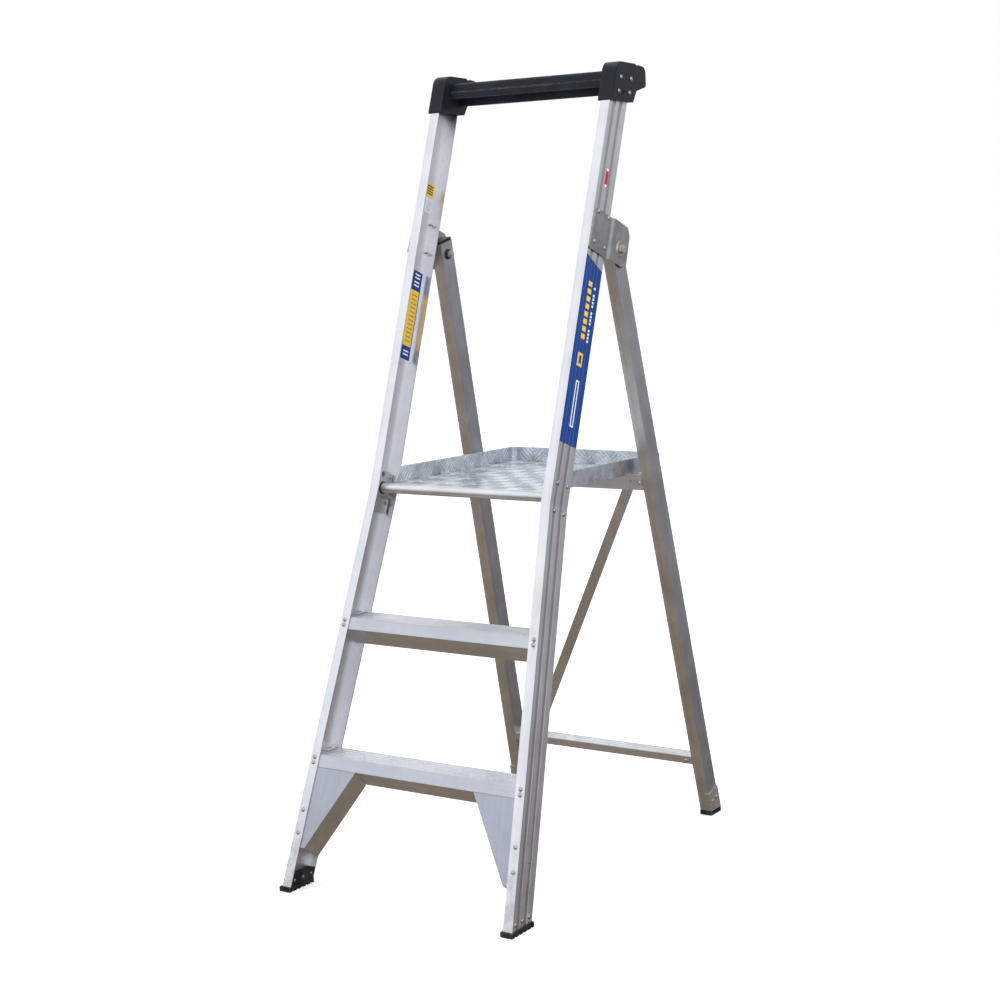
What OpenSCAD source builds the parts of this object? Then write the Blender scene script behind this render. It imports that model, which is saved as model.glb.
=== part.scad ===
// Folding platform step ladder: two treads, a tread-plate platform and a hand rail.
// Millimetres, +Z up, the user climbs from -Y towards +Y, +X is the user's right.
// Origin: on the floor, in the middle of the ladder's footprint. The design below is drawn with
// y = 0 at the front frame's foot, and the module ladder() moves it onto that origin.

/* [Front frame] */
// Lean of the front frame back from upright, degrees
lean_front = 18.4; // [17.5:0.1:19]
// Half width over the stiles at the floor
half_floor = 302; // [295:1:310]
// Half width over the stiles above the bend
half_top = 240; // [238:0.5:242]
// Height of the bend, measured along the stile
bend_v = 910; // [900:5:920]
// Depth of the stile channel
stile_depth = 76; // [74:0.5:80]
// Width of the stile flanges
stile_flange = 23; // [22:0.5:26]
// Wall of the stile channel
stile_wall = 3.2; // [3:0.1:4]
// Height of the stile's top end, inside the caps
stile_top_z = 1795; // [1780:1:1800]

/* [Treads] */
// Height of the lower tread
step_1_z = 291; // [285:1:297]
// Height of the upper tread
step_2_z = 588; // [580:1:596]
// Height of the tread's front face
tread_face = 26.4; // [22:0.2:30]
// Height of the tread's rear wall
tread_back = 73; // [60:1:80]
// Wall of the tread extrusion
tread_wall = 2.4; // [2:0.1:3]

/* [Platform] */
// Height of the platform's hinge tube
tube_z = 870; // [865:1:875]
// Distance of the hinge tube behind the stile's front face
tube_d = 26.4; // [24:0.2:30]
// Outer radius of the hinge tube
tube_r = 11.6; // [10:0.1:13]
// Half width of the platform tray
tray_half = 212; // [205:1:214]
// Position of the tray's rear face
tray_rear_y = 861; // [800:1:870]
// Height of the tray's lips above its floor
lip_h = 34; // [25:1:45]
// Thickness of the tread plate
plate_t = 3; // [2:0.5:4]

/* [Rear frame] */
// Lean of the rear frame forward from upright, degrees
lean_rear = 15.5; // [15:0.1:16]
// Position of the rear legs' front face at the floor
rear_y = 958; // [955:1:961]
// Half width over the rear legs at the floor
rear_half = 289.6; // [285:0.5:292]
// Inward lean of the rear legs, degrees
rear_splay = 1.83; // [1.7:0.01:1.95]
// Depth of the rear leg section
leg_depth = 48; // [46:1:50]
// Width of the rear leg section
leg_width = 28; // [26:0.5:29]
// Wall of the rear leg section
leg_wall = 2; // [1.6:0.1:2.4]
// Length of the rear legs from the floor
leg_len = 1474; // [1468:1:1478]

/* [Hinge] */
// Position of the pivot along the stile
pivot_v = 1514.5; // [1512:0.5:1517]
// Position of the pivot behind the stile's front face
pivot_d = 123.7; // [122:0.1:125]
// Radius of the pivot bolt
bolt_r = 5; // [4:0.5:6]
// Thickness of the hinge plate
hinge_t = 3; // [2.5:0.1:3.5]
// Outward step of the hinge plate
joggle = 7; // [6.5:0.1:8]

/* [Top rail] */
// Height of the caps' underside
cap_z = 1726; // [1720:1:1735]
// Height of the caps' top
top_z = 1813; // [1808:1:1820]
// Outer half width of the caps
cap_half = 247; // [245:0.5:250]
// Width of each cap
cap_w = 36.5; // [34:0.5:40]

/* [Feet] */
// Height of the front shoe's sole
sole_h = 10.4; // [8:0.2:14]
// Height of the rear shoe's sole
rear_sole_h = 12; // [10:0.5:16]
// Overhang of the front sole around the stile
sole_lip = 3.5; // [2:0.5:5]
// Overhang of the rear sole around the leg
rear_lip = 2.3; // [1.5:0.1:4]

/* [Hidden] */
$fn = 48;
sf = sin(lean_front);
cf = cos(lean_front);
sr = sin(lean_rear);
cr = cos(lean_rear);
fit = 0.05;          // radial play of a running fit
gap = 0.2;           // play between pieces that only touch
rivet_r = 2.4;
hole_r = rivet_r + 0.1;
head_r = 5.2;
head_rise = 3.1;
stile_len = 1950;    // cut back to stile_top_z
taper = (half_floor - half_top) / bend_v;
leg_taper = tan(rear_splay);
flange_mid = stile_flange / 2 - 1;
foot_rear_y = rear_y + leg_depth / cr + rear_lip - 1;
middle_y = (foot_rear_y - sole_lip) / 2;

// Tube centre in the world
tube_y = tube_z * sf / cf + tube_d / cf;
tube_v = tube_y * sf + tube_z * cf;

// Pivot centre in the world and along the rear leg
pivot_y = pivot_v * sf + pivot_d * cf;
pivot_z = pivot_v * cf - pivot_d * sf;
pivot_w = (pivot_z - leg_depth / 2 * sr) / cr;
leg_out_x = rear_half - pivot_w * leg_taper;
leg_in_x = leg_out_x - leg_width;
washer_x = leg_out_x + 0.7;
hinge_in_x = half_top + joggle;
hinge_out_x = hinge_in_x + hinge_t;
emboss_h = 2.2;
inner_washer_x = leg_in_x - 0.7;

// Platform levels
floor_z = tube_z + tube_r - 0.6;
tray_under_z = floor_z - plate_t;

// Positions along the stile of its fixings
gusset_rivet_v = [132, 183];
shoe_rivet_z = 23;
shoe_rivet_y = [17.5, 46, 74];
web_hole = [[152, 46.5], [191.4, 31]];
hinge_rivet_d = [19, 66];
hinge_rivet_v = [1498.5, 1567.5];
tube_rivet_d = [20, 62];
tube_rivet_v = [895.5, 956.5];
cap_rivet = [[614.4, 1778], [661.8, 1777], [603.8, 1746.6], [653.4, 1745.6]];
cap_hole = [627.5, 1746];

// ---- frames and shared shapes -------------------------------------------------

// Front frame space: x across, y behind the stile's front face, z along the stile
module front_space() { rotate([-lean_front, 0, 0]) children(); }

// Rear frame space: x across, y behind the leg's front face, z along the leg
module rear_space() { translate([0, rear_y, 0]) rotate([lean_rear, 0, 0]) children(); }

module ladder() { translate([0, -middle_y, 0]) children(); }

module left() { mirror([1, 0, 0]) children(); }

module both() {
    children();
    left() children();
}

// Half width over the stiles at a place along them
function stile_x(v) = v < bend_v ? half_floor - v * taper : half_top;
function leg_x(w) = rear_half - w * leg_taper;

// Keeps only what is above a level, or below it
module above(z) {
    intersection() { children(); translate([-600, -400, z]) cube([1200, 2000, 3000]); }
}
module below(z) {
    intersection() { children(); translate([-600, -400, z - 3000]) cube([1200, 2000, 3000]); }
}

// Slab of the stile between two inward offsets from its outer face and two depths
module stile_slab(from, to, d0, d1, v0 = 0, v1 = stile_len) {
    translate([0, d1, 0]) rotate([90, 0, 0]) linear_extrude(d1 - d0)
        polygon(concat(
            [[stile_x(v0) - from, v0]],
            v0 < bend_v && v1 > bend_v ? [[half_top - from, bend_v]] : [],
            [[stile_x(v1) - from, v1], [stile_x(v1) - to, v1]],
            v0 < bend_v && v1 > bend_v ? [[half_top - to, bend_v]] : [],
            [[stile_x(v0) - to, v0]]));
}

// The same for the rear leg
module leg_slab(from, to, d0, d1, w0, w1) {
    translate([0, d1, 0]) rotate([90, 0, 0]) linear_extrude(d1 - d0)
        polygon([[leg_x(w0) - from, w0], [leg_x(w1) - from, w1],
                 [leg_x(w1) - to, w1], [leg_x(w0) - to, w0]]);
}

// Space between the rear legs' inner faces
module between_legs(d0, d1) {
    in = leg_width + gap;
    top = 1300;
    translate([0, d1, 0]) rotate([90, 0, 0]) linear_extrude(d1 - d0)
        polygon([[in - leg_x(0), 0], [leg_x(0) - in, 0], [leg_x(top) - in, top], [in - leg_x(top), top]]);
}

// Space between the stiles' webs
module between_webs(d0, d1) {
    in = stile_wall + gap;
    translate([0, d1, 0]) rotate([90, 0, 0]) linear_extrude(d1 - d0)
        polygon([[in - half_floor, 0], [half_floor - in, 0],
                 [half_top - in, bend_v], [in - half_top, bend_v]]);
}

// A profile given as [y, z] points, extruded across the ladder
module across(x0, x1) {
    translate([x0, 0, 0]) rotate([90, 0, 90]) linear_extrude(x1 - x0) children();
}

// Polygon with every corner rounded: points in order, one radius each
function unit(a) = a / norm(a);
function corner(p, a, b, r, steps = 8) =
    let (u = unit(a - p), w = unit(b - p), half = acos(u * w) / 2, c = p + unit(u + w) * r / sin(half))
    let (s = c + unit(p + u * r / tan(half) - c) * r, e = c + unit(p + w * r / tan(half) - c) * r)
    let (a0 = atan2(s[1] - c[1], s[0] - c[0]), a1 = atan2(e[1] - c[1], e[0] - c[0]))
    let (turn = a1 - a0 > 180 ? a1 - a0 - 360 : a1 - a0 < -180 ? a1 - a0 + 360 : a1 - a0)
    [for (i = [0:steps]) c + r * [cos(a0 + turn * i / steps), sin(a0 + turn * i / steps)]];
function rounded(pts, radii) = [
    for (i = [0:len(pts) - 1])
        let (n = len(pts), a = pts[(i + n - 1) % n], b = pts[(i + 1) % n])
        for (q = radii[i] > 0 ? corner(pts[i], a, b, radii[i]) : [pts[i]]) q
];

// Rectangle with rounded corners
module round_rect(x0, y0, x1, y1, r) {
    polygon(rounded([[x0, y0], [x0, y1], [x1, y1], [x1, y0]], [r, r, r, r]));
}

// Dome-head rivet along +X: head from x = 0 outwards, body inwards through the grip
module rivet(grip, tail = 3.5) {
    ball = (head_r * head_r + head_rise * head_rise) / (2 * head_rise);
    sweep = asin(head_r / ball);
    steps = 5;
    dome = [for (i = [0:steps]) let (a = sweep * (1 - i / steps))
        [ball * sin(a), head_rise - ball + ball * cos(a)]];
    end = -grip - tail;
    shank = [[0, end], [rivet_r + 1, end], [rivet_r + 1, -grip], [rivet_r, -grip], [rivet_r, 0]];
    rotate([0, 90, 0]) rotate_extrude() polygon(concat(shank, dome));
}

// Hole along X through a range
module x_hole(x0, x1, r = hole_r) { translate([x0, 0, 0]) rotate([0, 90, 0]) cylinder(r = r, h = x1 - x0); }

// Hole along Y through a range
module y_hole(y0, y1, r = hole_r) { translate([0, y1, 0]) rotate([90, 0, 0]) cylinder(r = r, h = y1 - y0); }

module hex(r, h) { rotate([0, 90, 0]) cylinder(r = r, h = h, $fn = 6); }

// ---- front frame ----------------------------------------------------------------

// Heights along the stile of the rivets through the front flange at a tread
function face_rivet_v(z) = [for (dz = [-8.5, 3]) z / cf - 8 + dz];

module at_flange(v) { translate([stile_x(v) - flange_mid, 0, v]) children(); }

module stile_body() {
    groove = 1.2;
    groove_d = [[14, 27], [42, 56]];
    web = stile_wall;
    skin = 2.5;
    above(sole_h) below(stile_top_z) front_space() difference() {
        union() {
            stile_slab(0, web, 0, stile_depth);
            stile_slab(0, stile_flange, 0, skin);
            stile_slab(0, stile_flange, stile_depth - skin, stile_depth);
        }
        for (g = groove_d) stile_slab(-1, groove, g[0], g[1], -5, stile_len + 5);
        for (v = concat(face_rivet_v(step_1_z), face_rivet_v(step_2_z), gusset_rivet_v))
            at_flange(v) y_hole(-1, skin + 1);
        for (d = hinge_rivet_d, v = hinge_rivet_v) translate([0, d, v]) x_hole(half_top - 8, half_top + 1);
        for (d = tube_rivet_d, v = tube_rivet_v) translate([0, d, v]) x_hole(half_top - 8, half_top + 3);
    }
}

module stile() {
    difference() {
        stile_body();
        for (y = shoe_rivet_y) translate([0, y, shoe_rivet_z]) x_hole(half_floor - 10, half_floor + 5);
        front_space() for (h = web_hole)
            translate([0, h[1], h[0]]) x_hole(half_floor - 30, half_floor + 5, 3);
        for (c = cap_rivet) translate([0, c[0], c[1]]) x_hole(half_top - 8, half_top + 1);
    }
}

// Outline of a tread in front frame space as [depth, height] points
function tread_outline(z, inset = 0) =
    let (v = (z + 3 * sf) / cf, d0 = 3 + inset, d1 = stile_depth - 3.4 - inset, rise = sf / cf)
    [[d0, v + inset * (rise - 1 / cf)],
     [d1, v + (d1 - 3) * rise - inset / cf],
     [d1, v + 69.6 * rise - tread_back + inset],
     [d0, v - tread_face + inset]];

module tread(z) {
    ribs = 6;
    run = stile_depth - 12;
    color("silver") difference() {
        intersection() {
            front_space() between_webs(0, stile_depth);
            union() {
                front_space() across(-half_floor, half_floor) difference() {
                    polygon(tread_outline(z));
                    polygon(tread_outline(z, tread_wall));
                }
                for (i = [0:ribs - 1])
                    translate([-half_floor, z * sf / cf + 6 + i * run / (ribs - 1), z - 0.3])
                        cube([2 * half_floor, 4.5, 1.3]);
            }
        }
        front_space() for (v = face_rivet_v(z)) both() at_flange(v) y_hole(2, 12);
        both() bracket_rivet_at(z) translate([0, 0, -10]) cylinder(r = hole_r, h = 14);
    }
}

module step_1() { tread(step_1_z); }
module step_2() { tread(step_2_z); }

// Small angle that ties the end of a tread to the web above the deck
module step_bracket(z) {
    y0 = z * sf / cf + 34;
    reach = 16;
    deck = z + 1.2;
    x = stile_x(z / cf) - stile_wall - 0.6;
    color("silver") difference() {
        intersection() {
            front_space() between_webs(3, stile_depth - 3);
            union() {
                translate([x - reach, y0, deck]) cube([reach + 8, 36, 2]);
                translate([x - 2.6, y0, deck]) cube([12, 36, 16]);
            }
        }
        bracket_rivet_at(z) translate([0, 0, -4]) cylinder(r = hole_r, h = 12);
    }
}

module bracket_rivet_at(z) {
    translate([stile_x(z / cf) - stile_wall - 10, z * sf / cf + 50, z]) children();
}

module step_1_bracket_right() { step_bracket(step_1_z); }
module step_1_bracket_left() { left() step_bracket(step_1_z); }
module step_2_bracket_right() { step_bracket(step_2_z); }
module step_2_bracket_left() { left() step_bracket(step_2_z); }

// Folded sheet brace under the lower tread
module gusset() {
    t = 2;
    top = [156, 280.5];
    low = [261, 100];
    slope = (low[0] - top[0]) / (top[1] - low[1]);
    web_in = stile_wall + 0.4;
    tail = 84;
    color("silver") front_space() difference() {
        union() {
            translate([0, 2.8 + t, 0]) rotate([90, 0, 0]) linear_extrude(t)
                polygon([top, low, [stile_x(low[1]) - web_in, low[1]], [stile_x(top[1]) - web_in, top[1]]]);
            intersection() {
                translate([0, 72, 0]) rotate([90, 0, 0]) linear_extrude(72 - 2.8)
                    polygon([top, [low[0] + slope * 18, low[1] - 18],
                             [low[0] + slope * 18 + t * 1.16, low[1] - 18], top + [t * 1.16, 0]]);
                across(0, half_floor)
                    polygon([[2.8, low[1]], [72, low[1] - 20], [72, low[1] + 156], [2.8, top[1]]]);
            }
        }
        for (v = gusset_rivet_v) at_flange(v) y_hole(2, 8);
    }
}
module gusset_right() { gusset(); }
module gusset_left() { left() gusset(); }

// Rubber shoe: a sole around the stile's end and an insert up inside the channel
module front_foot() {
    y1 = stile_depth / cf;
    insert_top = 33;
    color([0.07, 0.075, 0.08]) difference() {
        union() {
            linear_extrude(sole_h - 0.05)
                round_rect(half_floor - stile_flange - sole_lip - 0.4, -sole_lip,
                           half_floor + sole_lip, y1 + sole_lip + 1, 2.5);
            above(sole_h - 1) below(insert_top) front_space()
                stile_slab(stile_wall + 0.15, stile_flange - 1, 2.7, stile_depth - 2.7, -20, 90);
        }
        for (y = shoe_rivet_y) translate([0, y, shoe_rivet_z]) x_hole(half_floor - 40, half_floor + 5);
        translate([half_floor - 40, 57, 21]) rotate([0, 90, 0]) cylinder(r = 3, h = 2);
        for (i = [0:4]) translate([half_floor - 40, 6 + i * 16, -1]) cube([60, 6, 3]);
    }
}
module front_foot_right() { front_foot(); }
module front_foot_left() { left() front_foot(); }

// ---- hinge ------------------------------------------------------------------------

module at_pivot() { translate([0, pivot_y, pivot_z]) children(); }

module hinge_plate() {
    x0 = half_top + 0.05;
    x1 = x0 + hinge_t;
    d_step = 76.5;
    outline = rounded([[9.5, 1574], [144, 1572], [157.5, 1556], [160, 1488], [146, 1478], [-1, 1479]],
                      [6, 8, 8, 8, 8, 6]);
    color([0.62, 0.61, 0.6]) difference() {
        union() {
            intersection() {
                front_space() translate([0, 0, 1400]) linear_extrude(250)
                    polygon([[x0, -10], [x1, -10], [x1, d_step], [hinge_out_x, d_step + 8],
                             [hinge_out_x, 170], [hinge_in_x, 170], [hinge_in_x, d_step + 8.6], [x0, d_step + 0.6]]);
                front_space() across(x0 - 5, hinge_out_x + 5) polygon(outline);
            }
            at_pivot() x_hole(hinge_out_x - 0.1, hinge_out_x + emboss_h, 17);
            at_pivot() x_hole(hinge_out_x - 0.1, hinge_out_x + 1, 20);
        }
        at_pivot() x_hole(half_top, hinge_out_x + 5, bolt_r + fit);
        front_space() for (d = hinge_rivet_d, v = hinge_rivet_v)
            translate([0, d, v]) x_hole(half_top - 1, x1 + 1);
    }
}
module hinge_plate_right() { hinge_plate(); }
module hinge_plate_left() { left() hinge_plate(); }

module pivot_bolt() {
    head_x = hinge_out_x + emboss_h;
    color("lightgray") at_pivot() {
        x_hole(inner_washer_x - 13, head_x + 0.1, bolt_r);
        x_hole(head_x, head_x + 1.6, 10.5);
        translate([head_x + 1.5, 0, 0]) hex(9.2, 5.9);
    }
}
module pivot_bolt_right() { pivot_bolt(); }
module pivot_bolt_left() { left() pivot_bolt(); }

// Nylon washers each side of the rear leg
module pivot_washers() {
    spans = [[washer_x, hinge_in_x - 0.05], [inner_washer_x - 2, inner_washer_x]];
    color([0.12, 0.12, 0.13]) both() at_pivot() for (x = spans) difference() {
        x_hole(x[0], x[1], 12);
        x_hole(x[0] - 1, x[1] + 1, bolt_r + fit);
    }
}

module pivot_nuts() {
    x1 = inner_washer_x - 2.05;
    color("lightgray") both() at_pivot() difference() {
        union() {
            translate([x1 - 6.5, 0, 0]) hex(9.2, 6.5);
            x_hole(x1 - 10, x1 - 6.4, 7.6);
        }
        x_hole(x1 - 12, x1 + 1, bolt_r + fit);
    }
}

// ---- platform hinge ----------------------------------------------------------------

bush_r = tube_r + 1.6;

// Housing on the inner face of the web that carries the hinge tube
module tube_bracket() {
    x_web = half_top - stile_wall - 0.1;
    x_in = 223;
    color([0.7, 0.7, 0.7]) difference() {
        front_space() difference() {
            union() {
                translate([x_in, 4, 907]) cube([x_web - x_in, 68, 58]);
                translate([x_web - 3, 8, 872]) cube([3, 60, 40]);
            }
            translate([x_in - 1, 46, 914]) cube([x_web - x_in - 2, 40, 58]);
            for (d = tube_rivet_d, v = tube_rivet_v) translate([0, d, v]) x_hole(200, half_top);
            translate([0, tube_rivet_d[0], tube_rivet_v[1]]) x_hole(200, x_web - 3, 6);
        }
        translate([0, tube_y, tube_z]) x_hole(200, half_top, bush_r + fit);
    }
}
module tube_bracket_right() { tube_bracket(); }
module tube_bracket_left() { left() tube_bracket(); }

module tube_bushes() {
    x_web = half_top - stile_wall - 0.3;
    color([0.1, 0.1, 0.11]) both() translate([0, tube_y, tube_z]) difference() {
        union() {
            x_hole(222.8, x_web, bush_r);
            x_hole(221.4, 222.9, bush_r + 0.9);
        }
        x_hole(200, half_top, tube_r + fit);
    }
}

module platform_tube() {
    end = half_top - stile_wall - 0.8;
    color("silver") translate([0, tube_y, tube_z]) difference() {
        x_hole(-end, end, tube_r);
        x_hole(-end - 1, end + 1, tube_r - 2.5);
    }
}

// Tread-plate tray: floor with a lip at each side and the rear, welded to the tube
module platform_tray() {
    y0 = tube_y;
    r = 18;
    t = plate_t;
    lip_z = floor_z + lip_h;
    slant_y = tube_y + 30;
    slant = 32;
    outer = rounded([[-tray_half, y0], [-tray_half, tray_rear_y], [tray_half, tray_rear_y], [tray_half, y0]],
                    [0, r, r, 0]);
    inner = rounded([[t - tray_half, y0 - 5], [t - tray_half, tray_rear_y - t],
                     [tray_half - t, tray_rear_y - t], [tray_half - t, y0 - 5]], [0, r - t, r - t, 0]);
    color([0.72, 0.73, 0.74]) difference() {
        translate([0, 0, tray_under_z]) linear_extrude(lip_z - tray_under_z) polygon(outer);
        translate([0, 0, floor_z]) linear_extrude(lip_h + 1) polygon(inner);
        across(-tray_half - 1, tray_half + 1)
            polygon([[y0 - 20, floor_z], [slant_y, floor_z],
                     [slant_y + slant, lip_z + 1], [y0 - 20, lip_z + 1]]);
        translate([0, tube_y, tube_z]) x_hole(-tray_half - 1, tray_half + 1, tube_r + 0.02);
        translate([-tray_half - 1, tube_y - 20, tray_under_z - 1]) cube([2 * tray_half + 2, 20, lip_h + 10]);
    }
}

// ---- top rail ------------------------------------------------------------------------

function front_y(z, d) = z * sf / cf + d / cf;

// Side outline of a cap as [y, z] points
cap_outline = rounded(
    [[front_y(cap_z, -3), cap_z], [front_y(top_z, -3), top_z], [686, top_z], [692, 1807], [700, 1811],
     [733, 1809], [735, 1764], [690, 1752], [673, cap_z]],
    [3, 27, 4, 4, 4, 16, 7, 6, 4]);

// Section of the rail as [y, z] points: short front wall, deeper rear wall, open below
rail_top = 1796;
rail_ridge = 1774;
rail_front = 1760;
rail_rear = 1745;
rail_wall = 3.2;
rail_y = front_y(rail_ridge, 24);
rail_depth = 46;
rail_outer = rounded(
    [[rail_y - 1.5, rail_front], [rail_y - 1, rail_ridge], [rail_y + 3.5, rail_ridge + 3],
     [rail_y + 6, rail_top], [rail_y + rail_depth, rail_top], [rail_y + rail_depth + 2, rail_rear]],
    [0, 1, 0, 8, 9, 0]);
rail_inner = [
    [rail_y + rail_wall - 1.5, rail_rear - 10], [rail_y + rail_wall - 1, rail_ridge],
    [rail_y + rail_wall + 8, rail_top - rail_wall],
    [rail_y + rail_depth - rail_wall - 3, rail_top - rail_wall],
    [rail_y + rail_depth - rail_wall + 1, rail_rear - 10]];

module rail_section() {
    difference() {
        polygon(rail_outer);
        polygon(rail_inner);
    }
}

module top_rail() {
    half = cap_half - cap_w - 0.3;
    color([0.1, 0.11, 0.125]) across(-half, half) rail_section();
}

// Moulded corner cap: a sleeve over the stile with a rounded knob behind it
module top_cap() {
    x0 = cap_half - cap_w;
    wall = 4;
    color([0.09, 0.1, 0.11]) difference() {
        across(x0, cap_half) polygon(cap_outline);
        below(stile_top_z + 0.3) front_space()
            stile_slab(-gap, stile_flange + gap, -gap, stile_depth + gap, 1500, stile_len);
        translate([x0 + wall, 694, 1700]) cube([cap_w - 2 * wall, 34, 94]);
        for (c = cap_rivet) translate([0, c[0], c[1]]) x_hole(half_top - 8, cap_half + 1);
        translate([0, cap_hole[0], cap_hole[1]]) x_hole(half_top + 2, cap_half + 1, 3);
    }
}
module top_cap_right() { top_cap(); }
module top_cap_left() { left() top_cap(); }

// ---- front frame rivets ------------------------------------------------------------------

module flange_rivet(v, grip) { front_space() at_flange(v) rotate([0, 0, -90]) rivet(grip); }

module step_rivets() {
    color("gainsboro") both() {
        for (z = [step_1_z, step_2_z]) {
            for (v = face_rivet_v(z)) flange_rivet(v, 3 + tread_wall);
            bracket_rivet_at(z) translate([0, 0, 3.2]) rotate([0, -90, 0]) rivet(2 + tread_wall + 1.2, 3);
        }
    }
}

module gusset_rivets() {
    color("gainsboro") both() for (v = gusset_rivet_v) flange_rivet(v, 4.8);
}

module shoe_rivets() {
    color("gainsboro") both() for (y = shoe_rivet_y)
        translate([stile_x(y * sf + shoe_rivet_z * cf) + 0.35, y, shoe_rivet_z]) rivet(stile_flange, 2);
}

module hinge_rivets() {
    color("gainsboro") both() for (d = hinge_rivet_d, v = hinge_rivet_v)
        front_space() translate([half_top + 0.05 + hinge_t, d, v]) rivet(hinge_t + stile_wall + 0.1, 6);
}

module tube_bracket_rivets() {
    color("gainsboro") both() for (d = tube_rivet_d, v = tube_rivet_v)
        front_space() translate([stile_x(v) + 0.35, d, v]) rivet(stile_x(v) - half_top + stile_wall + 3.6);
}

module cap_rivets() {
    color("gainsboro") both() for (c = cap_rivet)
        translate([cap_half, c[0], c[1]]) rivet(cap_half - half_top + stile_wall + 0.1);
}

// ---- rear frame ------------------------------------------------------------------------

module leg() {
    w = leg_wall;
    color([0.74, 0.73, 0.7]) difference() {
        above(rear_sole_h) rear_space() difference() {
            leg_slab(0, leg_width, 0, leg_depth, 0, leg_len);
            leg_slab(w, leg_width - w, w, leg_depth - w, -60, leg_len + 20);
        }
        at_pivot() x_hole(leg_in_x - 5, leg_out_x + 5, bolt_r + 2.5 + fit);
        rear_space() for (r = leg_rivets)
            translate([0, r[1], r[0]]) x_hole(leg_x(r[0]) - leg_width - 2, leg_x(r[0]) - leg_width + 4);
        rear_space() for (r = wear_rivets)
            translate([0, r[1], r[0]]) x_hole(leg_x(r[0]) - 4, leg_x(r[0]) + 2);
    }
}
module rear_leg_right() { leg(); }
module rear_leg_left() { left() leg(); }

// Steel tube through the leg that turns on the pivot bolt
module pivot_bush() {
    color("lightgray") at_pivot() difference() {
        x_hole(leg_in_x - 0.4, leg_out_x + 0.4, bolt_r + 2.5);
        x_hole(leg_in_x - 2, leg_out_x + 2, bolt_r + fit);
    }
}
module pivot_bush_right() { pivot_bush(); }
module pivot_bush_left() { left() pivot_bush(); }

module leg_plug() {
    w = leg_wall + 0.1;
    color([0.08, 0.08, 0.09]) rear_space() {
        leg_slab(0.6, leg_width - 0.6, 0.6, leg_depth - 0.6, leg_len + 0.05, leg_len + 7);
        leg_slab(w, leg_width - w, w, leg_depth - w, leg_len - 14, leg_len + 1);
    }
}
module leg_plug_right() { leg_plug(); }
module leg_plug_left() { left() leg_plug(); }

// Rubber shoe of a rear leg
module rear_foot() {
    lip = rear_lip;
    plug = leg_wall + 0.1;
    color([0.07, 0.075, 0.08]) difference() {
        union() {
            linear_extrude(rear_sole_h - 0.05)
                round_rect(leg_x(0) - leg_width - lip, rear_y - lip - 1,
                           leg_x(0) + lip, foot_rear_y, 2.5);
            above(rear_sole_h - 1) rear_space()
                leg_slab(plug, leg_width - plug, plug, leg_depth - plug, -20, 42);
        }
        for (i = [0:2]) translate([leg_x(0) - 50, rear_y + 6 + i * 15, -1]) cube([100, 5, 3]);
        rear_space() for (r = wear_rivets)
            translate([0, r[1], r[0]]) x_hole(leg_x(r[0]) - 12, leg_x(r[0]), rivet_r + 1.3);
    }
}
module rear_foot_right() { rear_foot(); }
module rear_foot_left() { left() rear_foot(); }

wear_rivets = [[34, 14], [34, 36]];

// Plate that guards the outer lower face of a rear leg
module wear_plate() {
    color([0.78, 0.78, 0.78]) above(rear_sole_h + 0.1) rear_space() difference() {
        leg_slab(-3, 10, -1.6, leg_depth + 1.6, -20, 60);
        leg_slab(-0.1, 12, -0.1, leg_depth + 0.1, -30, 70);
        for (r = wear_rivets) translate([0, r[1], r[0]]) x_hole(leg_x(r[0]) - 4, leg_x(r[0]) + 6);
    }
}
module wear_plate_right() { wear_plate(); }
module wear_plate_left() { left() wear_plate(); }

module wear_plate_rivets() {
    color("gainsboro") both() rear_space() for (r = wear_rivets)
        translate([leg_x(r[0]) + 3.2, r[1], r[0]]) rivet(5.4, 3);
}

// Channel between the rear legs that the platform rests on
member_y = 716;
member_depth = 30;
member_z = [840, tray_under_z - 0.5];
member_wall = 2.6;

module upper_cross_member() {
    h = member_z[1] - member_z[0];
    color([0.74, 0.73, 0.7]) difference() {
        intersection() {
            rear_space() between_legs(-60, 80);
            across(-300, 300) translate([member_y, member_z[0]]) difference() {
                square([member_depth, h]);
                translate([member_wall, member_wall]) square([member_depth, h - 2 * member_wall]);
            }
        }
        both() for (z = upper_cleat_z) translate([upper_cleat_x, 0, z]) y_hole(member_y - 1, member_y + 6);
        translate([brace_top[0], 0, brace_top[1]]) y_hole(member_y - 1, member_y + 6, 3.1);
        translate([brace_top[0] - 27, member_y + member_wall, member_z[0] - 1])
            cube([35, 14, member_wall + 2]);
    }
}

// Angle from a leg's inner face to the inside of the channel's front wall
upper_cleat_x = 225;
upper_cleat_z = [858];
leg_rivets = [[883, 16], [895, 16], [142, 12], [150, 20]];

module upper_cleats() {
    t = 2.5;
    y0 = member_y + member_wall + 0.1;
    color([0.74, 0.73, 0.7]) both() difference() {
        intersection() {
            rear_space() between_legs(-60, 80);
            union() {
                translate([217, y0, member_z[0] + 3]) cube([29, t, member_z[1] - member_z[0] - 6]);
                above(member_z[0] + member_wall + 0.3) below(member_z[1] - member_wall - 0.3) rear_space()
                    leg_slab(leg_width + gap, leg_width + gap + t, 4, 26,
                             member_z[0] / cr - 10, member_z[1] / cr);
            }
        }
        for (z = upper_cleat_z) translate([upper_cleat_x, 0, z]) y_hole(y0 - 3, y0 + 6);
        rear_space() for (i = [0, 1]) translate([0, leg_rivets[i][1], leg_rivets[i][0]]) x_hole(220, 260);
    }
}

// Ribbed angle between the rear legs near the floor
bar_w = 161;
bar_drop = 20;
bar_depth = 30;
bar_wall = 2.6;

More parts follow.
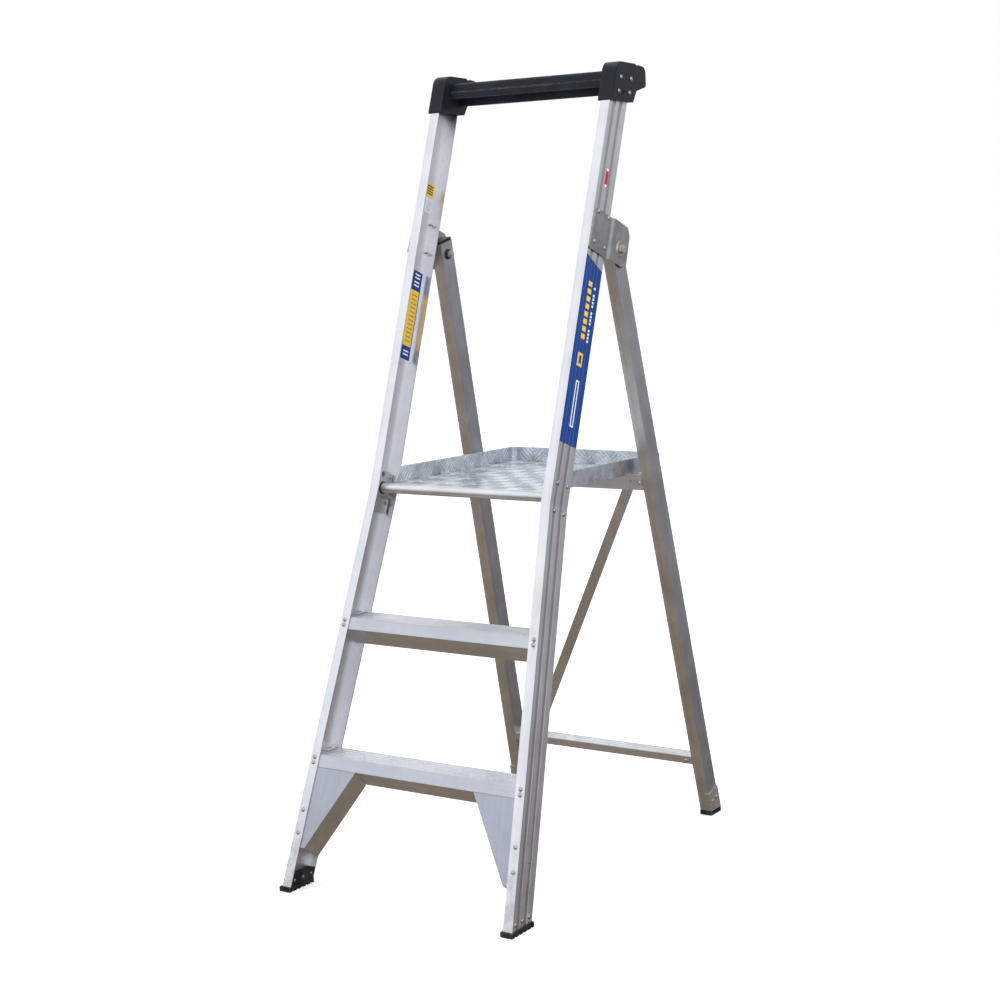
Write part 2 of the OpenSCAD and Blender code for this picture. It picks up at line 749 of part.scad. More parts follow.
module lower_cross_bar() {
    ribs = 4;
    color([0.78, 0.78, 0.78]) rear_space() difference() {
        intersection() {
            between_legs(-5, 60);
            union() {
                translate([-300, 0, bar_w - bar_drop]) cube([600, bar_wall, bar_drop]);
                translate([-300, 0, bar_w - bar_wall]) cube([600, bar_depth, bar_wall]);
                translate([-300, bar_depth - bar_wall, bar_w - 9]) cube([600, bar_wall, 9]);
                for (i = [0:ribs - 1]) translate([-300, 2 + i * 8, bar_w - 0.3]) cube([600, 2.4, 1.1]);
            }
        }
        both() translate([lower_cleat_x, 0, bar_w - 12]) y_hole(-1, 6);
        translate([brace_low[0], 0, bar_w - 10]) y_hole(-1, 6, 3.1);
    }
}

lower_cleat_x = 240;

module lower_cleats() {
    t = 2.5;
    y0 = bar_wall + 0.1;
    color([0.74, 0.73, 0.7]) both() rear_space() difference() {
        intersection() {
            between_legs(-5, 60);
            union() {
                translate([230, y0, bar_w - 22]) cube([40, t, 19]);
                leg_slab(leg_width + gap, leg_width + gap + t, y0, 27, bar_w - 25, bar_w - bar_wall - 0.1);
            }
        }
        translate([lower_cleat_x, 0, bar_w - 12]) y_hole(y0 - 3, y0 + 6);
        for (i = [2, 3]) translate([0, leg_rivets[i][1], leg_rivets[i][0]]) x_hole(240, 275);
    }
}

// Flat bar from the channel, behind its front wall, to the front of the lower bar
brace_top = [200, 858];
brace_low = [-198, 146];
brace_w = 25;
brace_t = 3;
brace_y0 = member_y + member_wall + 2.7;
brace_y1 = rear_y - (bar_w - 10) * sr - brace_t - 0.3;
brace_low_z = (bar_w - 10) * cr;

module diagonal_brace() {
    dy = brace_y1 - brace_y0;
    dz = brace_top[1] - brace_low_z;
    tilt = atan(dy / dz);
    run = sqrt(dy * dy + dz * dz);
    a = atan((brace_top[0] - brace_low[0]) / run);
    length = run / cos(a);
    color([0.7, 0.69, 0.66]) difference() {
        translate([brace_low[0], brace_y1, brace_low_z]) rotate([tilt, 0, 0]) rotate([0, a, 0])
            translate([-brace_w / 2, 0, -12]) cube([brace_w, brace_t, length + 20]);
        translate([brace_top[0], 0, brace_top[1]]) y_hole(brace_y0 - 4, brace_y0 + 12, 3.1);
        rear_space() translate([brace_low[0], 0, bar_w - 10]) y_hole(-12, 6, 3.1);
    }
}

module brace_bolts() {
    color("lightgray") {
        translate([brace_top[0], member_y, brace_top[1]]) rotate([0, 0, -90]) bolt(10.8);
        rear_space() translate([brace_low[0], -brace_t - 0.5, bar_w - 10]) rotate([0, 0, -90]) bolt(6.4);
    }
}

// Small hexagon bolt and nut along X: head outside x = 0
module bolt(grip) {
    hex(5.6, 4);
    translate([-grip - 7, 0, 0]) rotate([0, 90, 0]) cylinder(r = 3, h = grip + 7.1);
    translate([-grip - 4.5, 0, 0]) hex(5.6, 4.5);
}

module rear_rivets() {
    color("gainsboro") both() {
        for (z = upper_cleat_z)
            translate([upper_cleat_x, member_y, z]) rotate([0, 0, -90]) rivet(member_wall + 2.7, 3);
        rear_space() translate([lower_cleat_x, 0, bar_w - 12]) rotate([0, 0, -90]) rivet(bar_wall + 2.7, 3);
        rear_space() for (r = leg_rivets)
            translate([leg_x(r[0]) - leg_width - gap - 2.7, r[1], r[0]])
                rotate([0, 0, 180]) rivet(2.7 + gap + leg_wall + 0.2, 3);
    }
}

ladder() left() color("silver") stile();  // stile_left
ladder() color("silver") stile();  // stile_right
ladder() step_1();
ladder() step_2();
ladder() step_1_bracket_left();
ladder() step_1_bracket_right();
ladder() step_2_bracket_left();
ladder() step_2_bracket_right();
ladder() gusset_left();
ladder() gusset_right();
ladder() front_foot_left();
ladder() front_foot_right();
ladder() hinge_plate_left();
ladder() hinge_plate_right();
ladder() pivot_bolt_left();
ladder() pivot_bolt_right();
ladder() pivot_washers();
ladder() pivot_nuts();
ladder() tube_bracket_left();
ladder() tube_bracket_right();
ladder() tube_bushes();
ladder() top_cap_left();
ladder() top_cap_right();
ladder() top_rail();
ladder() step_rivets();
ladder() gusset_rivets();
ladder() shoe_rivets();
ladder() hinge_rivets();
ladder() tube_bracket_rivets();
ladder() cap_rivets();
ladder() platform_tray();
ladder() platform_tube();
ladder() rear_leg_left();
ladder() rear_leg_right();
ladder() leg_plug_left();
ladder() leg_plug_right();
ladder() pivot_bush_left();
ladder() pivot_bush_right();
ladder() rear_foot_left();
ladder() rear_foot_right();
ladder() wear_plate_left();
ladder() wear_plate_right();
ladder() upper_cross_member();
ladder() lower_cross_bar();
ladder() upper_cleats();
ladder() lower_cleats();
ladder() diagonal_brace();
ladder() brace_bolts();
ladder() rear_rivets();
ladder() wear_plate_rivets();
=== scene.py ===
import math
import bmesh
import bpy
from mathutils import Matrix, Vector


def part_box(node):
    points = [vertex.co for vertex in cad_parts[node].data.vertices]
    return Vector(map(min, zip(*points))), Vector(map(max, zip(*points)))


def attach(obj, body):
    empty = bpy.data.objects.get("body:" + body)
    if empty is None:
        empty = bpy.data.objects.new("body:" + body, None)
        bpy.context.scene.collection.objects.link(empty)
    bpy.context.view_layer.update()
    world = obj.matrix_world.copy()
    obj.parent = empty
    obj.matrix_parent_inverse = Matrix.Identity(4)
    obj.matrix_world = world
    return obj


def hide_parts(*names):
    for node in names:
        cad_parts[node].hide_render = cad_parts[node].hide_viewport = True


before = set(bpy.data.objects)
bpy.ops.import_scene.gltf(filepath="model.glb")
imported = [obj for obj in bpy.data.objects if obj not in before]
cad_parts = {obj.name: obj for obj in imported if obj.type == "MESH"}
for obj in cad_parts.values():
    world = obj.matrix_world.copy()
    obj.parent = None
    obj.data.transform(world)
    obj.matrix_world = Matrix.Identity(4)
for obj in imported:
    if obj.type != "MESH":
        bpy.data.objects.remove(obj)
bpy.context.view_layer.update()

# ---- the ladder's own directions, in metres and radians ------------------------------

MM = 0.001
LEAN_FRONT = math.radians(18.4)
LEAN_REAR = math.radians(15.5)
FOOT_LINE = -0.502806           # y of the front frame's face at the floor
BEND = 0.910                    # where the stiles turn parallel, along the stile
HALF_FLOOR, HALF_TOP = 0.302, 0.240   # half widths over the stiles
STILE_WALL = 0.0032
UP_STILE = Vector((0, math.sin(LEAN_FRONT), math.cos(LEAN_FRONT)))
INTO_STILE = Vector((0, math.cos(LEAN_FRONT), -math.sin(LEAN_FRONT)))
UP_LEG = Vector((0, -math.sin(LEAN_REAR), math.cos(LEAN_REAR)))
ACROSS = Vector((1, 0, 0))
FOOT = Vector((0, FOOT_LINE, 0))


def on_front(x, depth, along):
    """World place of a point given across, behind the stile's face and along the stile."""
    return FOOT + ACROSS * x + INTO_STILE * depth + UP_STILE * along


def stile_half(along):
    """Half width over the stiles at a place along them."""
    if along >= BEND:
        return HALF_TOP
    return HALF_FLOOR - (HALF_FLOOR - HALF_TOP) * along / BEND


# ---- small helpers for node trees ---------------------------------------------------

def put(tree, kind, values=None, **settings):
    """A node with its settings and unlinked socket values; a socket value may be a source socket."""
    node = tree.nodes.new(kind)
    for name, value in settings.items():
        setattr(node, name, value)
    for key, value in (values or {}).items():
        socket = node.inputs[key]
        if isinstance(value, bpy.types.NodeSocket):
            tree.links.new(value, socket)
        else:
            socket.default_value = value
    return node


def sums(tree, operation, a, b=None, c=None):
    """Result socket of a Math node."""
    values = {i: v for i, v in enumerate((a, b, c)) if v is not None}
    return put(tree, "ShaderNodeMath", values, operation=operation).outputs[0]


def times(tree, a, b):
    return sums(tree, "MULTIPLY", a, b)


def apart(tree, vector):
    """The vector's X, Y and Z sockets."""
    return put(tree, "ShaderNodeSeparateXYZ", {0: vector}).outputs


def vector_of(tree, x=0.0, y=0.0, z=0.0):
    return put(tree, "ShaderNodeCombineXYZ", {"X": x, "Y": y, "Z": z}).outputs[0]


def face_value(tree, name):
    """A float that the mesh carries under this name."""
    return put(tree, "ShaderNodeAttribute", attribute_name=name).outputs["Fac"]


def remap(tree, value, low, high, to_low=0.0, to_high=1.0):
    """Clamped, smooth change of range."""
    return put(tree, "ShaderNodeMapRange",
               {"Value": value, "From Min": low, "From Max": high, "To Min": to_low, "To Max": to_high},
               interpolation_type="SMOOTHSTEP").outputs["Result"]


def blend_colour(tree, factor, a, b, how="MIX"):
    """Mix of two colours, given as sockets or values."""
    node = put(tree, "ShaderNodeMix", data_type="RGBA", blend_type=how)
    for index, value in ((0, factor), (6, a), (7, b)):
        if isinstance(value, bpy.types.NodeSocket):
            tree.links.new(value, node.inputs[index])
        else:
            node.inputs[index].default_value = value
    return node.outputs[2]


def noise(tree, vector, scale, detail=2.0, roughness=0.5):
    return put(tree, "ShaderNodeTexNoise",
               {"Vector": vector, "Scale": scale, "Detail": detail, "Roughness": roughness}).outputs["Fac"]


def stretched(tree, vector, scale):
    """The vector with each axis scaled on its own."""
    return put(tree, "ShaderNodeMapping", {"Vector": vector, "Scale": scale}).outputs["Vector"]


def new_group(name, inputs, outputs):
    """Shader node group with named sockets: (name, type, default) in, (name, type) out."""
    group = bpy.data.node_groups.new(name, "ShaderNodeTree")
    for label, kind, default in inputs:
        socket = group.interface.new_socket(name=label, in_out="INPUT", socket_type=kind)
        if default is not None:
            socket.default_value = default
    for label, kind in outputs:
        group.interface.new_socket(name=label, in_out="OUTPUT", socket_type=kind)
    return group, group.nodes.new("NodeGroupInput").outputs, group.nodes.new("NodeGroupOutput").inputs


# ---- shared surface effects ----------------------------------------------------------

def build_die_lines():
    """Lengthwise lines that an extrusion die or a rolling mill leaves, with cloudy handling marks."""
    g, given, gives = new_group(
        "die_lines",
        [("Grain", "NodeSocketVector", None), ("Place", "NodeSocketVector", None),
         ("Lines per metre", "NodeSocketFloat", 900.0), ("Stretch", "NodeSocketFloat", 0.004),
         ("Cloud size", "NodeSocketFloat", 9.0)],
        [("Line", "NodeSocketFloat"), ("Streak", "NodeSocketFloat"), ("Cloud", "NodeSocketFloat"),
         ("Scratch", "NodeSocketFloat")])
    ratio = vector_of(g, 1.0, given["Stretch"], 1.0)
    along = put(g, "ShaderNodeVectorMath", {0: given["Grain"], 1: ratio}, operation="MULTIPLY").outputs[0]
    fine = noise(g, along, given["Lines per metre"], 3.0, 0.6)
    broad = noise(g, along, times(g, given["Lines per metre"], 0.13), 2.0)
    cloud = noise(g, given["Place"], given["Cloud size"], 4.0, 0.62)
    cuts = []
    for turn, scale, start in ((0.5, (260, 9, 1), 0.70), (-0.9, (210, 12, 1), 0.71)):
        turned = put(g, "ShaderNodeMapping",
                     {"Vector": given["Grain"], "Rotation": (0, 0, turn), "Scale": scale})
        cuts.append(remap(g, noise(g, turned.outputs[0], 1.0, 1.0), start, start + 0.06))
    patchy = remap(g, cloud, 0.45, 0.62)
    scratch = times(g, sums(g, "MAXIMUM", *cuts), patchy)
    for label, socket in (("Line", fine), ("Streak", broad), ("Cloud", cloud), ("Scratch", scratch)):
        g.links.new(socket, gives[label])
    return g


def build_rim_wear():
    """Rubbed edges: the piece's own rim attribute, broken up by noise."""
    g, given, gives = new_group(
        "rim_wear",
        [("Place", "NodeSocketVector", None), ("Rim", "NodeSocketFloat", 0.0),
         ("Break up", "NodeSocketFloat", 60.0)],
        [("Wear", "NodeSocketFloat")])
    worn = remap(g, noise(g, given["Place"], given["Break up"], 3.0), 0.35, 0.6)
    g.links.new(times(g, given["Rim"], worn), gives["Wear"])
    return g


def build_settled_dust():
    """Dust and grime, more on faces that look up and near the floor."""
    g, given, gives = new_group(
        "settled_dust",
        [("Place", "NodeSocketVector", None), ("Normal", "NodeSocketVector", None),
         ("Up faces", "NodeSocketFloat", 0.4), ("Low parts", "NodeSocketFloat", 0.4)],
        [("Dust", "NodeSocketFloat")])
    facing = apart(g, given["Normal"])["Z"]
    height = apart(g, given["Place"])["Z"]
    up = times(g, remap(g, facing, 0.2, 1.0), given["Up faces"])
    low = times(g, remap(g, height, 0.25, 0.0), given["Low parts"])
    spots = remap(g, noise(g, given["Place"], 38.0, 5.0, 0.65), 0.38, 0.66)
    g.links.new(times(g, sums(g, "ADD", up, low), spots), gives["Dust"])
    return g


def build_print_bar():
    """Printed rectangle on a sticker, from its UV: 1 inside, 0 outside."""
    g, given, gives = new_group(
        "print_bar",
        [("Grain", "NodeSocketVector", None), ("Centre X", "NodeSocketFloat", 0.0),
         ("Centre Y", "NodeSocketFloat", 0.0), ("Half X", "NodeSocketFloat", 0.01),
         ("Half Y", "NodeSocketFloat", 0.01)],
        [("Mask", "NodeSocketFloat")])
    parts = apart(g, given["Grain"])
    masks = []
    for axis in "XY":
        off = sums(g, "ABSOLUTE", sums(g, "SUBTRACT", parts[axis], given["Centre " + axis]))
        masks.append(sums(g, "LESS_THAN", off, given["Half " + axis]))
    g.links.new(times(g, masks[0], masks[1]), gives["Mask"])
    return g


DIE_LINES = build_die_lines()
RIM_WEAR = build_rim_wear()
SETTLED_DUST = build_settled_dust()
PRINT_BAR = build_print_bar()


def group_node(tree, group, values):
    return put(tree, "ShaderNodeGroup", values, node_tree=group).outputs


def start_material(name, metallic, **shader):
    """Material with an empty node tree, a Principled shader and the two vectors the effects read."""
    m = bpy.data.materials.new(name)
    m.use_nodes = True
    tree = m.node_tree
    tree.nodes.clear()
    surface = put(tree, "ShaderNodeBsdfPrincipled", {"Metallic": metallic, **shader})
    out = put(tree, "ShaderNodeOutputMaterial")
    tree.links.new(surface.outputs[0], out.inputs["Surface"])
    place = put(tree, "ShaderNodeTexCoord").outputs["Object"]
    grain = put(tree, "ShaderNodeUVMap", uv_map="grain").outputs["UV"]
    return m, tree, surface, place, grain


def finish_bump(tree, surface, height, distance, strength=1.0):
    bump = put(tree, "ShaderNodeBump", {"Height": height, "Distance": distance, "Strength": strength})
    tree.links.new(bump.outputs["Normal"], surface.inputs["Normal"])


def wear_and_dust(tree, place, up_faces, low_parts, break_up=60.0):
    """Masks of the rubbed rims and of the settled dust."""
    wear = group_node(tree, RIM_WEAR, {"Place": place, "Rim": face_value(tree, "rim"), "Break up": break_up})
    normal = put(tree, "ShaderNodeNewGeometry").outputs["Normal"]
    grime = group_node(tree, SETTLED_DUST, {"Place": place, "Normal": normal, "Up faces": up_faces,
                                            "Low parts": low_parts})
    return wear["Wear"], grime["Dust"]


SCRATCH_TINT = (0.95, 0.95, 0.96, 1)
RUBBED_METAL = (0.93, 0.93, 0.94, 1)
# painted shade colour for the floors of the stile grooves
GROOVE_SHADE_TINT = (0.42, 0.38, 0.34, 1)
# darkening for marked faces: partly a duller finish, partly painted shade
DULL_AND_SHADE_TINT = (0.60, 0.62, 0.68, 1)


def metal(name, base, shade, rough, rough_spread, lines=900.0, stretch=0.004, cloud=9.0, line_depth=0.00004,
          streak=0.35, dust=(0.10, 0.35), dust_colour=(0.30, 0.27, 0.23, 1), scratch=0.25):
    """Bare metal with die lines, clouds, scratches, rubbed rims and a little dust, plus painted shade on
    marked groove floors and darkened marked faces that are partly painted shade.
    """
    m, tree, surface, place, grain = start_material(name, 1.0)
    marks = group_node(tree, DIE_LINES, {"Grain": grain, "Place": place, "Lines per metre": lines,
                                         "Stretch": stretch, "Cloud size": cloud})
    wear, grime = wear_and_dust(tree, place, *dust)
    tone = remap(tree, sums(tree, "ADD", times(tree, marks["Streak"], streak),
                            times(tree, marks["Cloud"], 1 - streak)), 0.34, 0.66)
    colour = blend_colour(tree, tone, shade, base)
    colour = blend_colour(tree, times(tree, marks["Scratch"], scratch), colour, SCRATCH_TINT)
    colour = blend_colour(tree, times(tree, wear, 0.5), colour, RUBBED_METAL)
    # painted shade: the marked groove floors are darkened towards a warm brown
    colour = blend_colour(tree, times(tree, face_value(tree, "groove_shade"), 0.75), colour, GROOVE_SHADE_TINT)
    # darkened marked faces: partly a duller finish, partly painted shade
    colour = blend_colour(tree, face_value(tree, "dull_and_shade"), colour, DULL_AND_SHADE_TINT, "MULTIPLY")
    colour = blend_colour(tree, grime, colour, dust_colour)
    tree.links.new(colour, surface.inputs["Base Color"])
    spread = sums(tree, "MULTIPLY_ADD", marks["Cloud"], rough_spread, rough - rough_spread / 2)
    spread = sums(tree, "MULTIPLY_ADD", grime, 0.3, spread)
    spread = sums(tree, "MULTIPLY_ADD", marks["Line"], rough_spread * 0.6, spread)
    tree.links.new(spread, surface.inputs["Roughness"])
    height = sums(tree, "MULTIPLY_ADD", marks["Streak"], 1.5, marks["Line"])
    height = sums(tree, "SUBTRACT", height, times(tree, marks["Scratch"], scratch))
    finish_bump(tree, surface, height, line_depth)
    return m


def moulded(name, base, pale, rough, grain_size, depth, shine=0.25, dusty=0.3):
    """Moulded plastic or rubber: fine moulded grain, scuffs, rubbed rims and dust."""
    m, tree, surface, place, _ = start_material(name, 0.0)
    surface.inputs["Specular IOR Level"].default_value = shine
    wear, grime = wear_and_dust(tree, place, dusty, dusty, 90.0)
    grains = put(tree, "ShaderNodeTexVoronoi", {"Vector": place, "Scale": grain_size}, feature="SMOOTH_F1")
    cloud = noise(tree, place, 14.0, 4.0, 0.6)
    colour = blend_colour(tree, remap(tree, cloud, 0.35, 0.7), base, pale)
    colour = blend_colour(tree, times(tree, wear, 0.35), colour, (0.10, 0.11, 0.12, 1))
    colour = blend_colour(tree, grime, colour, (0.16, 0.15, 0.14, 1))
    tree.links.new(colour, surface.inputs["Base Color"])
    tree.links.new(sums(tree, "MULTIPLY_ADD", cloud, 0.22, rough - 0.11), surface.inputs["Roughness"])
    height = sums(tree, "MULTIPLY_ADD", noise(tree, place, 90.0, 2.0), 0.6, grains.outputs["Distance"])
    finish_bump(tree, surface, height, depth)
    return m


def vinyl(name, ground, bars, rough=0.32):
    """Printed sticker: a ground colour with plain bars, each (colour, centre, half size) in metres."""
    m, tree, surface, place, grain = start_material(name, 0.0)
    surface.inputs["Specular IOR Level"].default_value = 0.2
    cloud = noise(tree, place, 22.0, 4.0, 0.6)
    shade = tuple(c * 0.82 for c in ground[:3]) + (1,)
    colour = blend_colour(tree, remap(tree, cloud, 0.3, 0.7), shade, ground)
    for ink, centre, half in bars:
        mask = group_node(tree, PRINT_BAR, {"Grain": grain, "Centre X": centre[0], "Centre Y": centre[1],
                                            "Half X": half[0], "Half Y": half[1]})["Mask"]
        colour = blend_colour(tree, mask, colour, ink)
    scuff = remap(tree, noise(tree, stretched(tree, grain, (900, 60, 1)), 1.0, 2.0), 0.68, 0.78)
    colour = blend_colour(tree, times(tree, scuff, 0.02), colour, (0.75, 0.77, 0.8, 1))
    tree.links.new(colour, surface.inputs["Base Color"])
    tree.links.new(sums(tree, "MULTIPLY_ADD", cloud, 0.2, rough - 0.1), surface.inputs["Roughness"])
    finish_bump(tree, surface, noise(tree, place, 240.0, 2.0), 0.00006)
    return m


FRONT_ALUMINIUM = metal("front_extrusion", (0.86, 0.87, 0.895, 1), (0.74, 0.75, 0.78, 1), 0.34, 0.12,
                        scratch=0.08)
REAR_ALUMINIUM = metal("rear_extrusion", (0.80, 0.785, 0.76, 1), (0.62, 0.60, 0.57, 1), 0.36, 0.12,
                       lines=1100.0)
TREAD_PLATE = metal("tread_plate", (0.88, 0.91, 0.94, 1), (0.58, 0.62, 0.66, 1), 0.24, 0.14, lines=300.0,
                    stretch=0.05, cloud=26.0, streak=0.15, scratch=0.5, line_depth=0.00003)
TUBE_ALUMINIUM = metal("hinge_tube", (0.88, 0.89, 0.91, 1), (0.72, 0.73, 0.75, 1), 0.36, 0.12, lines=1400.0)
CAST_ALUMINIUM = metal("tube_housing", (0.78, 0.78, 0.78, 1), (0.58, 0.58, 0.58, 1), 0.46, 0.1, lines=60.0,
                       stretch=1.0, cloud=60.0, line_depth=0.0002)
ZINC_STEEL = metal("zinc_sheet", (0.50, 0.49, 0.48, 1), (0.37, 0.36, 0.35, 1), 0.38, 0.16, lines=420.0,
                   stretch=0.2, cloud=34.0, streak=0.2)
ZINC_FIXING = metal("zinc_fixing", (0.74, 0.72, 0.68, 1), (0.55, 0.53, 0.50, 1), 0.32, 0.12, cloud=120.0)
RIVET_METAL = metal("rivet_head", (0.64, 0.62, 0.59, 1), (0.44, 0.42, 0.40, 1), 0.20, 0.10, lines=200.0,
                    stretch=1.0, cloud=150.0, scratch=0.4)
BLACK_PLASTIC = moulded("cap_plastic", (0.006, 0.009, 0.013, 1), (0.011, 0.016, 0.023, 1), 0.42, 900.0,
                        0.00009, shine=0.22)
BLACK_RUBBER = moulded("shoe_rubber", (0.004, 0.0045, 0.005, 1), (0.010, 0.010, 0.0105, 1), 0.62, 500.0,
                       0.00016, shine=0.12, dusty=0.15)
BUSH_PLASTIC = moulded("bush_plastic", (0.010, 0.011, 0.012, 1), (0.018, 0.019, 0.021, 1), 0.5, 1100.0,
                       0.00006)


# ---- mesh work -------------------------------------------------------------------------

def clean_copy(node, flat=0.5):
    """A node's mesh, its loose triangles merged and its flat faces joined."""
    bm = bmesh.new()
    bm.from_mesh(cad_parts[node].data)
    bmesh.ops.remove_doubles(bm, verts=bm.verts, dist=2e-6)
    bmesh.ops.dissolve_limit(bm, angle_limit=math.radians(flat), verts=bm.verts, edges=bm.edges,
                             delimit={"NORMAL"})
    return bm


def piece_from(bm, name, material):
    mesh = bpy.data.meshes.new(name)
    bm.to_mesh(mesh)
    bm.free()
    piece = bpy.data.objects.new(name, mesh)
    bpy.context.collection.objects.link(piece)
    mesh.materials.append(material)
    return piece


def applied(piece):
    """Takes the piece's modifiers into its mesh."""
    seen = piece.evaluated_get(bpy.context.evaluated_depsgraph_get())
    mesh = bpy.data.meshes.new_from_object(seen)
    piece.modifiers.clear()
    piece.data = mesh
    mesh.name = piece.name
    return piece


def shade(piece, angle=32):
    mesh = piece.data
    mesh.shade_smooth()
    mesh.set_sharp_from_angle(angle=math.radians(angle))


def mark_faces(piece, name, amount):
    """Gives each face a value under this name; amount works it out from the face."""
    layer = piece.data.attributes.new(name, "FLOAT", "FACE")
    for face in piece.data.polygons:
        layer.data[face.index].value = amount(face)


def mark_rims(piece, width):
    """Marks the narrow faces that a bevel of this width made."""
    spots = piece.data.vertices

    def narrow(face):
        ring = sum((spots[a].co - spots[b].co).length for a, b in face.edge_keys)
        return 1.0 if ring > 0 and 2 * face.area / ring < width * 0.75 else 0.0

    mark_faces(piece, "rim", narrow)


def lay_grain(piece, along_at):
    """Writes the grain UV, X across the grain and Y along it; along_at gives its direction at a place."""
    mesh = piece.data
    layer = mesh.uv_layers.get("grain") or mesh.uv_layers.new(name="grain")
    for face in mesh.polygons:
        along = along_at(face.center)
        side = face.normal.cross(along)
        if side.length < 0.3:
            side = face.normal.cross(ACROSS if abs(face.normal.x) < 0.8 else UP_STILE)
        side.normalize()
        run = face.normal.cross(side)
        if run.dot(along) < 0:
            run = -run
        shift = 0.37 * face.normal.x + 0.71 * face.normal.y + 0.53 * face.normal.z
        for loop in face.loop_indices:
            p = mesh.vertices[mesh.loops[loop].vertex_index].co
            layer.data[loop].uv = (p.dot(side) + shift, p.dot(run))


def up_the_stile(place):
    local = (place - FOOT).dot(UP_STILE)
    if local >= BEND:
        return UP_STILE
    lean = (HALF_FLOOR - HALF_TOP) / BEND * (-1 if place.x > 0 else 1)
    return (UP_STILE + ACROSS * lean).normalized()


def up_the_leg(place):
    return (UP_LEG + ACROSS * (-0.032 if place.x > 0 else 0.032)).normalized()


def across_the_ladder(place):
    return ACROSS


def back_along(place):
    return Vector((0, 1, 0))


def even_normals(piece):
    """Lets the large flat faces set the shading, so that only the rounded edges bend it."""
    weigh = piece.modifiers.new("weigh", "WEIGHTED_NORMAL")
    weigh.mode = "FACE_AREA"
    weigh.weight = 100
    weigh.keep_sharp = True
    applied(piece)


def dress(node, body, material, grain, edge=0.5, steps=2, cuts=(), sharp=32, soften=(), mark=None):
    """A finished copy of a CAD node: joined faces, rounded edges, grain and material.

    soften lists (which edges, width in mm, segments) for edges rounder than the rest."""
    bm = clean_copy(node)
    for place, normal in cuts:
        bmesh.ops.bisect_plane(bm, geom=bm.verts[:] + bm.edges[:] + bm.faces[:], plane_co=place,
                               plane_no=normal)
    for which, width, segments in soften:
        bmesh.ops.bevel(bm, geom=[e for e in bm.edges if which(e)], offset=width * MM, segments=segments,
                        profile=0.5, affect="EDGES", clamp_overlap=False, loop_slide=False)
        bmesh.ops.remove_doubles(bm, verts=bm.verts, dist=2e-5)
    piece = piece_from(bm, node + "_shown", material)
    bevel = piece.modifiers.new("edge", "BEVEL")
    bevel.width = edge * MM
    bevel.segments = steps
    bevel.limit_method = "ANGLE"
    bevel.angle_limit = math.radians(28)
    bevel.use_clamp_overlap = True
    applied(piece)
    shade(piece, sharp)
    even_normals(piece)
    mark_rims(piece, edge * MM)
    if mark:
        mark(piece)
    lay_grain(piece, grain)
    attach(piece, body)
    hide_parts(node)
    return piece


def mark_groove_shade(piece):
    """Marks the floors of the grooves in a stile's web for painted shade."""
    def groove_floor(face):
        sunk = stile_half((face.center - FOOT).dot(UP_STILE)) - abs(face.center.x)
        return 1.0 if 0.8 * MM < sunk < 1.6 * MM and abs(face.normal.x) > 0.8 else 0.0

    mark_faces(piece, "groove_shade", groove_floor)


def on_side_outline(edge):
    """Edges around a cap's flat side faces."""
    if len(edge.link_faces) != 2:
        return False
    sides = [abs(f.normal.x) > 0.99 for f in edge.link_faces]
    middle = (edge.verts[0].co + edge.verts[1].co) / 2
    return any(sides) and not all(sides) and abs(middle.x) > CAP_OUTER and middle.z > CAP_FOOT


def on_plate_step(edge):
    """The four long edges of the hinge plate's outward step."""
    run = edge.verts[1].co - edge.verts[0].co
    depth = ((edge.verts[0].co + edge.verts[1].co) / 2 - FOOT).dot(INTO_STILE)
    lengthwise = run.length > 0.03 and abs(run.normalized().dot(UP_STILE)) > 0.99
    return lengthwise and PLATE_STEP[0] < depth < PLATE_STEP[1]


def on_boss(edge):
    """Rims of the raised boss around the pivot."""
    ends = [abs(v.co.x) for v in edge.verts]
    return min(ends) > BOSS_FOOT and edge.calc_length() < 0.006


def dull_and_shade_mark(which, amount):
    """A marker that darkens some faces: a duller finish on the step fronts, painted shade on the hinge
    plate's slope, the rear legs' sides and the tread bars, and darker gusset fronts.
    """
    return lambda piece: mark_faces(piece, "dull_and_shade", lambda face: amount if which(face) else 0.0)


def on_slope(face):
    """The sloping outer face of the hinge plate's step, which gets painted shade."""
    depth = (face.center - FOOT).dot(INTO_STILE)
    stepped = PLATE_SLOPE[0] < depth < PLATE_SLOPE[1] and abs(face.center.x) > PLATE_FACE
    return stepped and face.normal.dot(INTO_STILE) < -0.12


def faces_front(face):
    return face.normal.dot(INTO_STILE) < -0.95


def faces_side(face):
    return abs(face.normal.x) > 0.9


def both_sides(pattern):
    return [pattern + side for side in ("_left", "_right")]


CAP_OUTER, CAP_FOOT = 0.2465, 1.7262   # x past which and height above which a cap's outline lies
PLATE_STEP = (0.074, 0.088)            # depths between which the hinge plate's step has its edges
PLATE_SLOPE = (0.072, 0.090)           # depths between which its sloping face lies
PLATE_FACE, BOSS_FOOT = 0.2415, 0.2508
BEND_CUT = ((on_front(0, 0, BEND), UP_STILE),)
for node in both_sides("stile"):
    dress(node, "front_frame", FRONT_ALUMINIUM, up_the_stile, 0.5, cuts=BEND_CUT,
          mark=mark_groove_shade)
for node in ("step_1", "step_2"):
    dress(node, "front_frame", FRONT_ALUMINIUM, across_the_ladder, 0.35,
          mark=dull_and_shade_mark(faces_front, 0.6))
for node in both_sides("step_1_bracket") + both_sides("step_2_bracket"):
    dress(node, "front_frame", FRONT_ALUMINIUM, back_along, 0.3)
for node in both_sides("gusset"):
    dress(node, "front_frame", FRONT_ALUMINIUM, up_the_stile, 0.4,
          mark=dull_and_shade_mark(faces_front, 1.0))
for node in both_sides("front_foot"):
    dress(node, "front_frame", BLACK_RUBBER, across_the_ladder, 0.9, 3)
